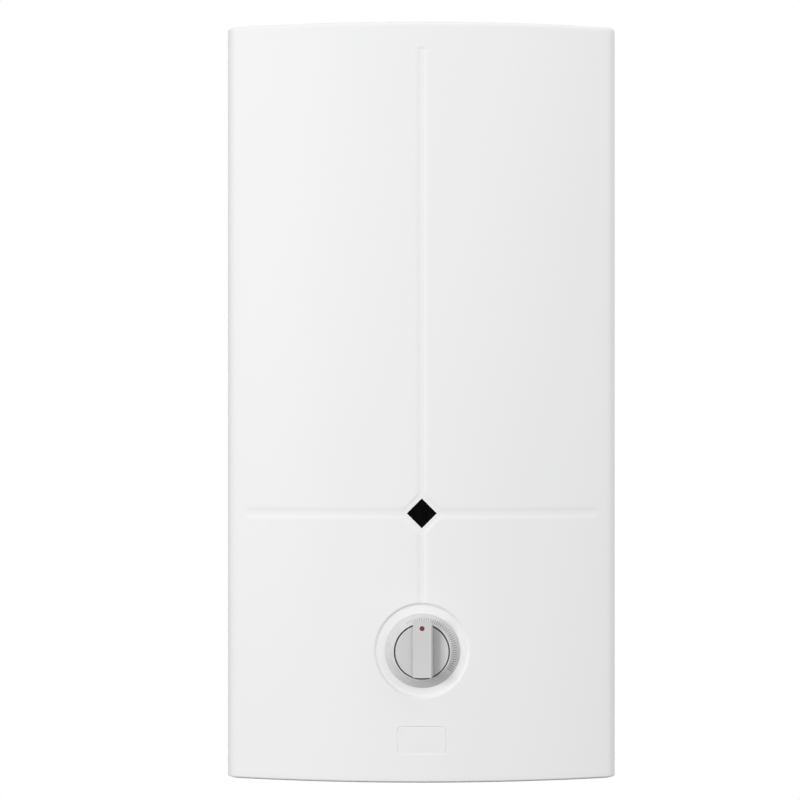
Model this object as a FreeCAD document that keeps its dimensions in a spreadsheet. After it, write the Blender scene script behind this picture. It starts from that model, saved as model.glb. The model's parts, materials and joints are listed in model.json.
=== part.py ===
import FreeCAD, Part
import math
import os
import re
import Sketcher

# Wall-hung gas water heater with an open flue.
# The frame has its origin midway between the two upper hanging slots, on the wall plane y = 0.
# +X is right as seen from the front, +Z is up, and the front of the casing faces -Y.
# In the code a place is (x, depth, height): depth is the distance from the wall, so y = -depth,
# and height is measured from the lower edge of the casing.

Vector = FreeCAD.Vector

# Driving sizes in millimetres, and angles in degrees

SIZES = {
    # enamelled cover
    "cover_width": 300,
    "cover_height": 580,
    "side_depth": 195,
    "cover_bow": 25,
    "cover_corner": 10,
    "cover_sheet": 1,
    "cover_edge_round": 3,
    "cover_rear_gap": 2,
    "cover_flange": 12,
    "groove_width": 7,
    "groove_floor": 3.5,
    "groove_depth": 0.6,
    "level_groove_depth": 0.4,
    "groove_top": 560,
    "groove_half_length": 135,
    "dish_radius": 36.2,
    "dish_floor_radius": 35.2,
    "dish_depth": 2.4,
    "spindle_hole_radius": 8,
    "sight_height": 205.5,
    "sight_half": 11.4,
    "sight_frame_half": 17.5,
    "sight_frame_depth": 0.9,
    "sight_glass": 3,
    "badge_height": 33,
    "badge_width": 36.6,
    "badge_tall": 19.8,
    "badge_thick": 0.5,
    "badge_pocket": 0.9,
    "badge_corner": 3,
    "top_slot_width": 5,
    "top_slot_length": 60,
    "top_slot_pitch": 12,
    "top_slot_inset": 92,
    "cover_notch_clearance": 4,
    # wall plate
    "plate_sheet": 1,
    "plate_margin": 6,
    "plate_flange": 16,
    "hang_drop": 45,
    "hang_spacing": 200,
    "hang_slot_length": 20,
    "hang_slot_width": 9,
    "low_hole_height": 30,
    "low_hole_spacing": 200,
    "low_hole_radius": 3.5,
    "fit_gap": 0.3,
    "fit_reach": 5,
    "slide_gap": 0.1,
    # cover screws
    "screw_radius": 1.9,
    "screw_head_radius": 4,
    "screw_head_height": 2.2,
    "screw_length": 9,
    "screw_height": 24,
    "screw_depth": 10,
    # knob, dial and spindle
    "knob_height": 101,
    "knob_radius": 20.2,
    "knob_stand": 0.5,
    "knob_disc": 3.2,
    "knob_travel": 5,
    "ridge_width": 13.8,
    "ridge_height": 11.5,
    "ridge_up": 24.3,
    "ridge_down": 18.5,
    "ridge_chamfer": 2.4,
    "ridge_foot": 1.5,
    "ridge_inset": 1.2,
    "knob_hub_radius": 6.8,
    "dot_radius": 1.9,
    "dot_height": 18.6,
    "dot_thick": 0.4,
    "ring_outer": 28.2,
    "ring_inner": 21.1,
    "ring_rim": 1.5,
    "ring_height": 9,
    "ring_wall": 1.6,
    "spindle_radius": 4,
    "spindle_flat": 2.8,
    "push_disc_radius": 31,
    "push_disc_thick": 2,
    "push_disc_back": 3,
    "return_wire": 0.8,
    "return_spring_radius": 8,
    "return_turns": 5,
    # gas valve
    "valve_left": 19,
    "valve_right": 35,
    "valve_down": 22,
    "valve_up": 22,
    "valve_rear": 130,
    "valve_front": 187,
    "lid_thick": 3,
    "lid_left": 38,
    "plug_front_radius": 14,
    "plug_rear_radius": 11,
    "plug_rear": 152,
    "plug_inset": 1,
    "plug_bore_gap": 0.05,
    "stem_radius": 2.5,
    "stem_disc_radius": 7,
    "stem_disc_thick": 2,
    "stem_bore_radius": 9,
    "safety_wire": 0.6,
    "safety_turns": 4,
    "magnet_radius": 11,
    "magnet_length": 24,
    "magnet_neck": 6,
    "igniter_x": 27,
    "igniter_radius": 7,
    "igniter_flange": 9,
    "igniter_rear": 140,
    "plunger_radius": 3,
    "lid_screw_radius": 1.5,
    "lid_screw_head": 3,
    "lid_screw_inset": 5,
    # water valve
    "water_radius": 30,
    "water_cavity": 24,
    "water_cavity_length": 12,
    "water_cover_hollow": 5,
    "water_flange": 8,
    "water_neck_radius": 13,
    "water_neck": 10,
    "water_body_length": 22,
    "water_cover_length": 27,
    "diaphragm_thick": 1.5,
    "rod_radius": 2.5,
    "rod_plate_radius": 18,
    "rod_plate_thick": 2,
    "gas_disc_radius": 9,
    "gas_disc_thick": 2,
    "gas_chamber_radius": 12,
    "gas_chamber_length": 17.5,
    "gas_wire": 0.7,
    "gas_turns": 5,
    "water_screw_count": 6,
    "water_screw_radius": 2,
    "water_screw_circle": 27,
    "drain_radius": 3,
    # connections below
    "port_x": 84,
    "hot_union_top": 40,
    "hot_run_height": 75,
    "cold_run_rise": 15,
    "coil_start": 28,
    "coil_head": 30,
    "coil_turn_shares": 4.8,
    "coil_lift": 10,
    "pipe_bend": 12,
    "coil_bend": 20,
    "lead_bend": 5,
    "gas_out_radius": 4,
    "union_pipe_radius": 8,
    "union_thread_radius": 10.5,
    "union_thread_length": 14,
    "union_nut_across": 30,
    "union_nut_height": 12,
    "union_bore": 6,
    "union_bottom": 1,
    # heat exchanger
    "chamber_half": 108,
    "chamber_rear": 25,
    "chamber_depth": 133,
    "chamber_bottom": 215,
    "crown_space": 140,
    "chamber_sheet": 0.8,
    "chamber_corner": 20,
    "tube_radius": 8,
    "tube_wall": 1,
    "tube_count": 4,
    "tube_drop": 22,
    "tube_stub": 10,
    "fin_count": 36,
    "fin_pitch": 4.8,
    "fin_thick": 0.5,
    "fin_high": 40,
    "fin_edge": 4,
    "coil_radius": 7,
    "coil_wall": 1,
    # flue
    "hood_high": 104,
    "hood_straight": 44,
    "hood_sheet": 0.8,
    "flue_radius": 55.5,
    "flue_depth": 98,
    "flue_wall": 1,
    "flue_above": 12,
    "flue_bead": 2,
    "flue_flange": 3,
    "hood_top_half": 60,
    "draught_opening_high": 14,
    "draught_opening_long": 90,
    "baffle_half": 38,
    "baffle_sheet": 0.8,
    "baffle_rise": 12,
    "sensor_radius": 8,
    "sensor_x": 60,
    "thermostat_turn": 1.68,
    # burner
    "blade_count": 12,
    "blade_pitch": 16,
    "blade_thick": 8,
    "blade_wall": 0.6,
    "blade_drop": 55,
    "blade_high": 42,
    "blade_slots": 14,
    "blade_slot_wide": 3,
    "burner_frame_half": 104,
    "burner_frame_sheet": 1.2,
    "burner_frame_high": 34,
    "manifold_radius": 7,
    "manifold_wall": 1,
    "manifold_rise": 12,
    "injector_radius": 2.6,
    "injector_length": 5,
    "pilot_radius": 4,
    "pilot_spacing": 12,
    "pilot_high": 18,
    "lead_radius": 1,
    "ignition_lead_radius": 1.6,
    "pilot_tube_radius": 1.6,
    "bracket_sheet": 1.5,
    "bracket_x": 60,
    "bracket_wide": 24,
    "bracket_high": 20,
}

# Places and sizes that follow from the driving sizes

PLACES = {
    "half_width": "cover_width / 2",
    "hang_height": "cover_height - hang_drop",
    "front_depth": "side_depth + cover_bow",
    "bow_radius": "(half_width ^ 2 + cover_bow ^ 2) / (2 * cover_bow)",
    "dish_face": "front_depth - dish_depth",
    "dish_back": "dish_face - cover_sheet",
    "plate_half": "half_width - cover_sheet - fit_gap",
    "ring_top": "dish_face + ring_height",
    "knob_face": "ring_top + knob_stand",
    "knob_back": "knob_face - knob_disc",
    "knob_top": "knob_face + ridge_height",
    "beak_back": "ring_top + knob_travel + fit_gap",
    "push_disc_front": "dish_back - push_disc_back",
    "push_disc_rear": "push_disc_front - push_disc_thick",
    "spindle_front": "knob_face + 1.5",
    "lid_front": "valve_front + lid_thick",
    "plug_front": "valve_front - plug_inset",
    "stem_front": "plug_rear - fit_gap",
    "rod_depth": "valve_rear + 28",
    "gas_in_depth": "rod_depth - 14",
    "gas_out_x": "valve_right - 8",
    "valve_top": "knob_height + valve_up",
    "valve_bottom": "knob_height - valve_down",
    "water_left": "valve_right",
    "water_face": "water_left + water_neck + water_body_length",
    "water_cover_left": "water_face + diaphragm_thick",
    "water_right": "water_cover_left + water_cover_length",
    "rod_right": "water_face - fit_gap",
    "gas_chamber_end": "valve_right - gas_chamber_length",
    "gas_disc_left": "valve_right - gas_disc_thick - 1",
    "rod_left": "gas_disc_left + gas_disc_thick",
    "water_out_x": "water_left + water_neck + 5",
    "water_boss_top": "knob_height + water_radius + 4",
    "water_boss_bottom": "knob_height - water_radius - 4",
    "cold_run_height": "water_boss_top + cold_run_rise",
    "chamber_height": "cover_height - crown_space - chamber_bottom",
    "chamber_front": "chamber_rear + chamber_depth",
    "chamber_top": "chamber_bottom + chamber_height",
    "tube_height": "chamber_top - tube_drop",
    "coil_foot": "chamber_bottom + coil_lift",
    "coil_low": "coil_foot + coil_start",
    "coil_rise": "(tube_height - coil_low - coil_head) / coil_turn_shares",
    "thermostat_height": "coil_low + thermostat_turn * coil_rise",
    "tube_pitch": "chamber_depth / (tube_count + 1)",
    "tube_first": "chamber_rear + tube_pitch",
    "tube_last": "chamber_rear + tube_pitch * tube_count",
    "tube_end": "chamber_half + tube_stub",
    "coil_side": "chamber_half + coil_radius + fit_gap",
    "coil_front": "chamber_front + coil_radius + fit_gap",
    "coil_rear": "chamber_rear - coil_radius - fit_gap",
    "hood_bottom": "chamber_top - 8",
    "hood_half": "chamber_half + fit_gap + hood_sheet",
    "hood_rear": "chamber_rear - fit_gap - hood_sheet",
    "hood_front": "chamber_front + fit_gap + hood_sheet",
    "hood_top": "hood_bottom + hood_high",
    "flue_outer": "flue_radius + flue_wall",
    "flue_top": "cover_height + flue_above",
    "blade_bottom": "chamber_bottom - blade_drop",
    "blade_top": "blade_bottom + blade_high",
    "manifold_height": "blade_bottom + manifold_rise",
    "blade_rear": "chamber_rear + 8",
    "blade_front": "chamber_front - 8",
    "frame_rear": "blade_rear - fit_gap - burner_frame_sheet",
    "frame_front": "blade_front + fit_gap + burner_frame_sheet",
    "blade_first": "-blade_pitch * (blade_count - 1) / 2",
    "manifold_depth": "frame_front + injector_length + fit_gap + 3 + manifold_radius",
    "pilot_tab": "manifold_height + manifold_radius + 12",
    "pilot_foot": "pilot_tab + bracket_sheet",
    "pilot_depth": "frame_front + pilot_radius + 0.5",
    "lead_depth": "manifold_depth + manifold_radius + 8",
    "magnet_front": "valve_rear - fit_gap",
    "magnet_rear": "magnet_front - magnet_neck - magnet_length",
    "hot_depth": "tube_last",
    "riser_x": "tube_end + coil_radius + 8",
}

doc = FreeCAD.newDocument("gas_water_heater")

# Sheet of driving sizes

sheet = doc.addObject("Spreadsheet::Sheet", "Sizes")
for row, (alias, amount) in enumerate(SIZES.items(), start=1):
    sheet.set(f"A{row}", alias)
    sheet.set(f"B{row}", str(amount))
    sheet.setAlias(f"B{row}", alias)
doc.recompute()

WORD = re.compile(r"[a-z][a-z_0-9]*")


def full(expression):
    """Put the name of the sheet or of the set of places in front of each value's name."""
    def holder(word):
        if word.group() in SIZES:
            return "Sizes." + word.group()
        if word.group() in PLACES:
            return "Places." + word.group()
        return word.group()
    return WORD.sub(holder, str(expression))


places = doc.addObject("App::VarSet", "Places")
for name in PLACES:
    places.addProperty("App::PropertyFloat", name)
for name, expression in PLACES.items():
    places.setExpression(name, full(expression).replace("Places.", ""))
doc.recompute()


def bind(thing, prop, expression):
    """Tie a property to an expression of named values."""
    thing.setExpression(prop, full(expression))


def number(expression):
    """Present value of an expression of named values."""
    return float(sheet.evalExpression(full(expression)))


def times(text, factor):
    """Expression of a value times a factor."""
    return f"({text}) * {factor}"


# Directions of a piece's own Z axis

TURNS = {
    "up": FreeCAD.Rotation(Vector(0, 0, 1), 0),
    "down": FreeCAD.Rotation(Vector(1, 0, 0), 180),
    "front": FreeCAD.Rotation(Vector(1, 0, 0), 90),
    "back": FreeCAD.Rotation(Vector(1, 0, 0), -90),
    "right": FreeCAD.Rotation(Vector(0, 1, 0), 90),
    "left": FreeCAD.Rotation(Vector(0, 1, 0), -90),
}


def stand(thing, x="0", depth="0", height="0", turn="up"):
    """Place a piece at a distance from the wall and a height above the casing's lower edge."""
    thing.Placement = FreeCAD.Placement(Vector(0, 0, 0), TURNS[turn])
    bind(thing, "Placement.Base.x", x)
    bind(thing, "Placement.Base.y", f"-({depth})")
    bind(thing, "Placement.Base.z", f"{height} - hang_height")
    return thing


# Part primitives

def box(name, x, depth, height, wide, deep, high):
    """Box whose left, rear, lower corner is given."""
    block = doc.addObject("Part::Box", name)
    bind(block, "Length", wide)
    bind(block, "Width", deep)
    bind(block, "Height", high)
    return stand(block, x, f"{depth} + {deep}", height)


def rod(name, x, depth, height, turn, radius, length):
    """Round bar that starts at a point and runs along a direction."""
    bar = doc.addObject("Part::Cylinder", name)
    bind(bar, "Radius", radius)
    bind(bar, "Height", length)
    return stand(bar, x, depth, height, turn)


def fuse(label, *pieces):
    """One solid from several."""
    joined = doc.addObject("Part::MultiFuse", label)
    joined.Shapes = list(pieces)
    joined.Refine = True
    return joined


def cut(label, base, *tools):
    """A solid with others taken out of it, one after another."""
    rest = base
    for index, tool in enumerate(tools, start=1):
        last = index == len(tools)
        step = doc.addObject("Part::Cut", label if last else f"{label}_step_{index}")
        step.Base = rest
        step.Tool = tool
        rest = step
    return rest


def group(label, *pieces):
    """Separate solids that share a node."""
    set_of_solids = doc.addObject("Part::Compound", label)
    set_of_solids.Links = list(pieces)
    return set_of_solids


# Bodies with sketches

def new_body(label, x="0", depth="0", height="0", turn="up"):
    """Body whose own frame stands at the given place."""
    return stand(doc.addObject("PartDesign::Body", label), x, depth, height, turn)


def new_sketch(body, plane, offset="0"):
    """Sketch on one of the body's origin planes, moved along its normal."""
    sketch = body.newObject("Sketcher::SketchObject", body.Name + "_sketch")
    support = [item for item in body.Origin.OriginFeatures if item.Role == plane + "_Plane"][0]
    sketch.AttachmentSupport = [(support, "")]
    sketch.MapMode = "FlatFace"
    bind(sketch, "AttachmentOffset.Base.z", offset)
    return sketch


def pin_point(sketch, index, end, across, along):
    """Hold a point of a sketch at named distances from the origin."""
    for kind, expression in (("DistanceX", across), ("DistanceY", along)):
        at = sketch.addConstraint(
            Sketcher.Constraint(kind, -1, 1, index, end, number(expression))
        )
        bind(sketch, f"Constraints[{at}]", expression)


def outline(sketch, points):
    """Closed polygon through points that are pairs of expressions."""
    first = sketch.GeometryCount
    count = len(points)
    spots = [Vector(number(across), number(along), 0) for across, along in points]
    for step in range(count):
        sketch.addGeometry(Part.LineSegment(spots[step], spots[(step + 1) % count]), False)
    for step in range(count):
        sketch.addConstraint(
            Sketcher.Constraint("Coincident", first + step, 2, first + (step + 1) % count, 1)
        )
    for step, (across, along) in enumerate(points):
        pin_point(sketch, first + step, 1, across, along)
    return sketch


def rectangle(sketch, left, low, right, high):
    """Rectangle between two corners."""
    return outline(sketch, [(left, low), (right, low), (right, high), (left, high)])


def diamond(sketch, across, along, half):
    """Square that stands on a corner."""
    return outline(sketch, [
        (f"{across} - {half}", along),
        (across, f"{along} - {half}"),
        (f"{across} + {half}", along),
        (across, f"{along} + {half}"),
    ])


def circle(sketch, across, along, radius):
    """Circle of a named radius."""
    middle = Vector(number(across), number(along), 0)
    index = sketch.addGeometry(Part.Circle(middle, Vector(0, 0, 1), number(radius)), False)
    at = sketch.addConstraint(Sketcher.Constraint("Radius", index, number(radius)))
    bind(sketch, f"Constraints[{at}]", radius)
    pin_point(sketch, index, 3, across, along)
    return sketch


def hexagon(sketch, across_flats):
    """Hexagon about the origin, with two flats square to the sketch's X axis."""
    corners = []
    for side in range(6):
        angle = math.radians(60 * side + 30)
        ratio_across = math.cos(angle) / math.sqrt(3)
        ratio_along = math.sin(angle) / math.sqrt(3)
        corners.append((times(across_flats, ratio_across), times(across_flats, ratio_along)))
    return outline(sketch, corners)


def feature(body, kind, sketch, reverse=False):
    """Sketch-based feature of a body."""
    made = body.newObject("PartDesign::" + kind, f"{body.Name}_{kind.lower()}")
    made.Profile = sketch
    made.Reversed = reverse
    sketch.Visibility = False
    return made


def pad(body, sketch, length, reverse=False):
    """Raise a sketch by a length."""
    made = feature(body, "Pad", sketch, reverse)
    bind(made, "Length", length)
    return made


def pocket(body, sketch, length, reverse=False):
    """Sink a sketch by a length."""
    made = feature(body, "Pocket", sketch, reverse)
    bind(made, "Length", length)
    return made


def revolve(body, sketch, kind="Revolution", axis="V_Axis"):
    """Turn a sketch once round an axis."""
    made = feature(body, kind, sketch)
    made.ReferenceAxis = (sketch, [axis])
    made.Angle = 360
    return made


def turned(label, x, depth, height, turn, profile):
    """Turned piece: the profile is pairs of radius and distance along the piece's own axis."""
    body = new_body(label, x, depth, height, turn)
    revolve(body, outline(new_sketch(body, "XZ"), profile))
    return body


def row_pattern(body, features, direction, length, count):
    """Even row of copies of features along one of the body's axes."""
    pattern = body.newObject("PartDesign::LinearPattern", body.Name + "_row")
    pattern.Originals = features
    axis = [item for item in body.Origin.OriginFeatures if item.Role == direction + "_Axis"][0]
    pattern.Direction = (axis, [""])
    bind(pattern, "Length", length)
    bind(pattern, "Occurrences", count)
    body.Tip = pattern
    return pattern


# Shapes of bent tubes, leads and springs

def bent_path(points, bends):
    """Straight runs joined by tangent arcs, through points given as x, depth and height."""
    spots = [Vector(x, -depth, height) for x, depth, height in points]
    edges = []
    here = spots[0]
    for step in range(1, len(spots) - 1):
        corner = spots[step]
        radius = bends[step - 1]
        before = (spots[step - 1] - corner).normalize()
        after = (spots[step + 1] - corner).normalize()
        half = before.getAngle(after) / 2
        reach = radius / math.tan(half)
        start = corner + before * reach
        end = corner + after * reach
        middle_way = (before + after).normalize()
        middle = corner + middle_way * (radius / math.sin(half) - radius)
        edges.append(Part.LineSegment(here, start).toShape())
        edges.append(Part.Arc(start, middle, end).toShape())
        here = end
    edges.append(Part.LineSegment(here, spots[-1]).toShape())
    return Part.Wire(edges)


def swept(path, radius):
    """Round bar along a path."""
    start = path.Edges[0]
    section = Part.makeCircle(radius, start.valueAt(start.FirstParameter),
                              start.tangentAt(start.FirstParameter))
    return path.makePipeShell([Part.Wire(section)], True, True)


def shaped(label, shape):
    """Piece whose shape is made by the functions above, standing on the casing's lower edge."""
    piece = doc.addObject("Part::Feature", label)
    piece.Shape = shape
    return stand(piece)


def named_path(points, bends):
    """Bent path from expressions."""
    return bent_path([[number(place) for place in point] for point in points],
                     [number(bend) for bend in bends])


def bent_bar(label, points, bends, radius):
    """Solid bent bar, such as a lead or a small tube."""
    return shaped(label, swept(named_path(points, bends), number(radius)))


def bent_tube(label, points, bends, radius, wall):
    """Hollow bent tube."""
    path = named_path(points, bends)
    outer = swept(path, number(radius))
    inner = swept(path, number(radius) - number(wall))
    return shaped(label, outer.cut(inner))


def spring(label, x, depth, height, turn, radius, wire, turns, length):
    """Round wire spring whose outer reach along its axis is the given length."""
    wire_radius = number(wire)
    rise = number(length) - 2 * wire_radius
    helix = Part.makeHelix(rise / number(turns), rise, number(radius))
    helix.translate(Vector(0, 0, wire_radius))
    helix = Part.Wire(helix)
    start = helix.Edges[0]
    section = Part.makeCircle(wire_radius, start.valueAt(start.FirstParameter),
                              start.tangentAt(start.FirstParameter))
    coil = helix.makePipeShell([Part.Wire(section)], True, True)
    piece = doc.addObject("Part::Feature", label)
    piece.Shape = coil
    return stand(piece, x, depth, height, turn)


# Casing

def bow_plan(sketch, inset):
    """Plan of the cover: rear line, straight sides and the bowed front, drawn in by an inset."""
    half = f"(half_width - {inset})"
    bow = f"(bow_radius - {inset})"
    centre = number("front_depth - bow_radius")
    rear = number("cover_rear_gap")
    side = number(half)
    radius = number(bow)
    shoulder = centre + math.sqrt(radius ** 2 - side ** 2)
    reach = math.asin(side / radius)
    sketch.addGeometry(Part.LineSegment(Vector(side, -rear, 0), Vector(-side, -rear, 0)), False)
    sketch.addGeometry(Part.LineSegment(Vector(-side, -rear, 0), Vector(-side, -shoulder, 0)), False)
    front = Part.Circle(Vector(0, -centre, 0), Vector(0, 0, 1), radius)
    lowest = 1.5 * math.pi
    sketch.addGeometry(Part.ArcOfCircle(front, lowest - reach, lowest + reach), False)
    sketch.addGeometry(Part.LineSegment(Vector(side, -shoulder, 0), Vector(side, -rear, 0)), False)
    joints = ((0, 2, 1, 1), (1, 2, 2, 1), (2, 2, 3, 1), (3, 2, 0, 1))
    for joint in joints:
        sketch.addConstraint(Sketcher.Constraint("Coincident", *joint))
    sketch.addConstraint(Sketcher.Constraint("Vertical", 1))
    sketch.addConstraint(Sketcher.Constraint("Vertical", 3))
    pin_point(sketch, 0, 1, half, "-cover_rear_gap")
    pin_point(sketch, 1, 1, "-" + half, "-cover_rear_gap")
    at = sketch.addConstraint(Sketcher.Constraint("Radius", 2, radius))
    bind(sketch, f"Constraints[{at}]", bow)
    pin_point(sketch, 2, 3, "0", "bow_radius - front_depth")
    return sketch


def edges_where(shape, test):
    """Names of the edges whose middle point and length pass a test."""
    names = []
    for index, edge in enumerate(shape.Edges, start=1):
        if test(edge):
            names.append(f"Edge{index}")
    return names


def faces_where(shape, test):
    """Names of the faces that pass a test."""
    return [f"Face{index}" for index, face in enumerate(shape.Faces, start=1) if test(face)]


def middle_of(edge):
    return edge.valueAt((edge.FirstParameter + edge.LastParameter) / 2)


def fillet(body, base, names, radius):
    """Round edges of a feature."""
    rounded = body.newObject("PartDesign::Fillet", body.Name + "_round")
    rounded.Base = (base, names)
    bind(rounded, "Radius", radius)
    return rounded


def cover_block(label):
    """Solid block with the outer shape of the cover."""
    body = new_body(label)
    block = pad(body, bow_plan(new_sketch(body, "XY"), "0"), "cover_height")
    doc.recompute()
    front_y = -number("side_depth") + 1
    corners = edges_where(
        block.Shape, lambda edge: middle_of(edge).y < front_y
        and abs(edge.tangentAt(edge.FirstParameter).z) > 0.9)
    upright = fillet(body, block, corners, "cover_corner")
    doc.recompute()
    rear_y = -number("cover_rear_gap") - 1
    rims = edges_where(
        upright.Shape, lambda edge: middle_of(edge).y < rear_y
        and abs(edge.tangentAt(edge.FirstParameter).z) < 0.1)
    fillet(body, upright, rims, "cover_edge_round")
    doc.recompute()
    return body


def cover_shell():
    """Sheet skin of the block, open at the wall side."""
    body = cover_block("cover_shell")
    rear = faces_where(
        body.Tip.Shape, lambda face: abs(face.CenterOfMass.y + number("cover_rear_gap")) < 0.01)
    block = body.Tip
    shell = body.newObject("PartDesign::Thickness", "cover_skin")
    shell.Base = (block, rear)
    bind(shell, "Value", "cover_sheet")
    shell.Mode = 0
    shell.Join = 0
    shell.Reversed = True
    return body


def groove_section(sketch, across, along, face, depth, grow, swap=False):
    """Section of a pressed groove with sloped flanks, open towards the front."""
    wide = f"(groove_width / 2 + {grow})"
    floor = f"(groove_floor / 2 + {grow})"
    deep = f"-({face} - {depth} - {grow})"
    surface = f"-({face} - 0.001)"
    outside = f"-({face} + 1)"
    points = [
        (f"{across} - {wide}", outside), (f"{across} - {wide}", surface),
        (f"{across} - {floor}", deep), (f"{across} + {floor}", deep),
        (f"{across} + {wide}", surface), (f"{across} + {wide}", outside),
    ]
    if swap:
        points = [(depth, side.replace(across, along, 1)) for side, depth in points]
    return outline(sketch, points)


def presswork(label, grow):
    """Everything pressed into the front of the cover, grown by the sheet for its back side."""
    body = new_body(label)

    # Pocket of the badge
    seat = new_sketch(body, "XZ", f"front_depth - badge_pocket - {grow}")
    wide = f"(badge_width / 2 + fit_gap + {grow})"
    tall = f"(badge_tall / 2 + fit_gap + {grow})"
    rectangle(seat, "-" + wide, f"badge_height - {tall}", wide, f"badge_height + {tall}")
    block = pad(body, seat, f"badge_pocket + {grow} + 2")
    doc.recompute()
    corners = edges_where(block.Shape, lambda edge: abs(edge.tangentAt(0).y) > 0.9)
    fillet(body, block, corners, f"badge_corner + fit_gap + {grow}")

    # Dish round the dial
    dish = new_sketch(body, "YZ")
    bind(dish, "AttachmentOffset.Base.y", "knob_height")
    outline(dish, [
        (f"-(dish_face - {grow})", "0"),
        (f"-(dish_face - {grow})", f"dish_floor_radius + {grow}"),
        ("-front_depth", f"dish_radius + {grow}"),
        ("-(front_depth + 2)", f"dish_radius + {grow}"),
        ("-(front_depth + 2)", "0"),
    ])
    revolve(body, dish, axis="H_Axis")

    # Upright groove from the dish to the top
    upright = new_sketch(body, "XY", "knob_height")
    groove_section(upright, "0", "0", "front_depth", "groove_depth", grow)
    pad(body, upright, f"groove_top - knob_height + {grow}")

    # Level groove, turned about the axis of the bow
    level = new_sketch(body, "YZ")
    bind(level, "AttachmentOffset.Base.x", "bow_radius - front_depth")
    groove_section(level, "0", "sight_height", "bow_radius", "level_groove_depth", grow,
                   swap=True)
    turn = revolve(body, level)
    turn.Midplane = True
    bind(turn, "Angle", f"2 * asin((groove_half_length + {grow}) / bow_radius)")

    # Frame of the sight window
    frame = new_sketch(body, "XZ", f"front_depth - sight_frame_depth - {grow}")
    diamond(frame, "0", "sight_height", f"(sight_frame_half + {grow})")
    pad(body, frame, f"sight_frame_depth + {grow} + 2")
    return body


def cover_openings():
    """Holes through the cover."""
    body = new_body("cover_openings")

    # Opening below, inside the return flange
    half = "(half_width - cover_flange)"
    below = new_sketch(body, "XY", "-1")
    rectangle(below, "-" + half, "-(side_depth - cover_flange)", half, "1")
    pad(body, below, "cover_sheet + 2")

    # Notch in the top, open to the wall, so that the cover draws off round the flue
    reach = "(flue_outer + flue_bead + cover_notch_clearance)"
    notch = new_sketch(body, "XY", "cover_height - cover_sheet - 1")
    rectangle(notch, "-" + reach, "-flue_depth", reach, "1")
    pad(body, notch, "cover_sheet + 2")
    arch = new_sketch(body, "XY", "cover_height - cover_sheet - 1")
    circle(arch, "0", "-flue_depth", reach)
    pad(body, arch, "cover_sheet + 2")

    # Air slots each side of the notch
    slots = new_sketch(body, "XY", "cover_height - cover_sheet - 1")
    for side in (-1, 1):
        for step in range(4):
            near = f"{side} * (top_slot_inset + {step} * top_slot_pitch)"
            far = f"{side} * (top_slot_inset + {step} * top_slot_pitch + top_slot_width)"
            low, high = (near, far) if side > 0 else (far, near)
            rectangle(slots, low, "-flue_depth - top_slot_length / 2",
                      high, "-flue_depth + top_slot_length / 2")
    pad(body, slots, "cover_sheet + 2")

    # Sight window, spindle hole and side screw holes
    sight = new_sketch(body, "XZ", "dish_back - 2")
    diamond(sight, "0", "sight_height", "sight_half")
    circle(sight, "0", "knob_height", "spindle_hole_radius")
    pad(body, sight, "cover_sheet + dish_depth + 4")
    screws = new_sketch(body, "YZ", "-half_width - 1")
    circle(screws, "-screw_depth", "screw_height", "screw_radius + slide_gap")
    pad(body, screws, "cover_width + 2")
    return body


def front_cover():
    """Bowed enamelled cover, open at the back and below, pressed out of one sheet."""
    solid = cover_block("cover_solid")
    shell = cover_shell()
    press_back = presswork("press_back", "cover_sheet")
    press_front = presswork("press_front", "0")
    openings = cover_openings()
    doc.recompute()
    backing = press_back.Tip.Shape.common(solid.Tip.Shape)
    formed = shell.Tip.Shape.fuse(backing)
    pressed = formed.cut(press_front.Tip.Shape)
    return shaped("front_cover", pressed.cut(openings.Tip.Shape).Solids[0])


def back_plate():
    """Wall plate with hanging slots, lower holes and forward side flanges."""
    body = new_body("back_plate")
    top = "(cover_height - plate_margin)"
    wall = new_sketch(body, "XZ")
    rectangle(wall, "-plate_half", "plate_margin", "plate_half", top)
    pad(body, wall, "plate_sheet")
    for side in (-1, 1):
        inner = f"{side} * (plate_half - plate_sheet)"
        outer = f"{side} * plate_half"
        low, high = (inner, outer) if side > 0 else (outer, inner)
        edge = new_sketch(body, "XZ")
        rectangle(edge, low, "plate_margin", high, top)
        pad(body, edge, "plate_flange")
    slots = new_sketch(body, "XZ", "plate_sheet + 1")
    for side in (-1, 1):
        middle = f"{side} * hang_spacing / 2"
        straight = "(hang_slot_length - hang_slot_width) / 2"
        slot_outline(slots, middle, "hang_height", straight, "hang_slot_width / 2")
        circle(slots, f"{side} * low_hole_spacing / 2", "low_hole_height", "low_hole_radius")
    pocket(body, slots, "plate_sheet + 2")
    screws = new_sketch(body, "YZ", "half_width")
    circle(screws, "-screw_depth", "screw_height", "screw_radius + slide_gap / 2")
    pocket(body, screws, "cover_width")
    return body


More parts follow.
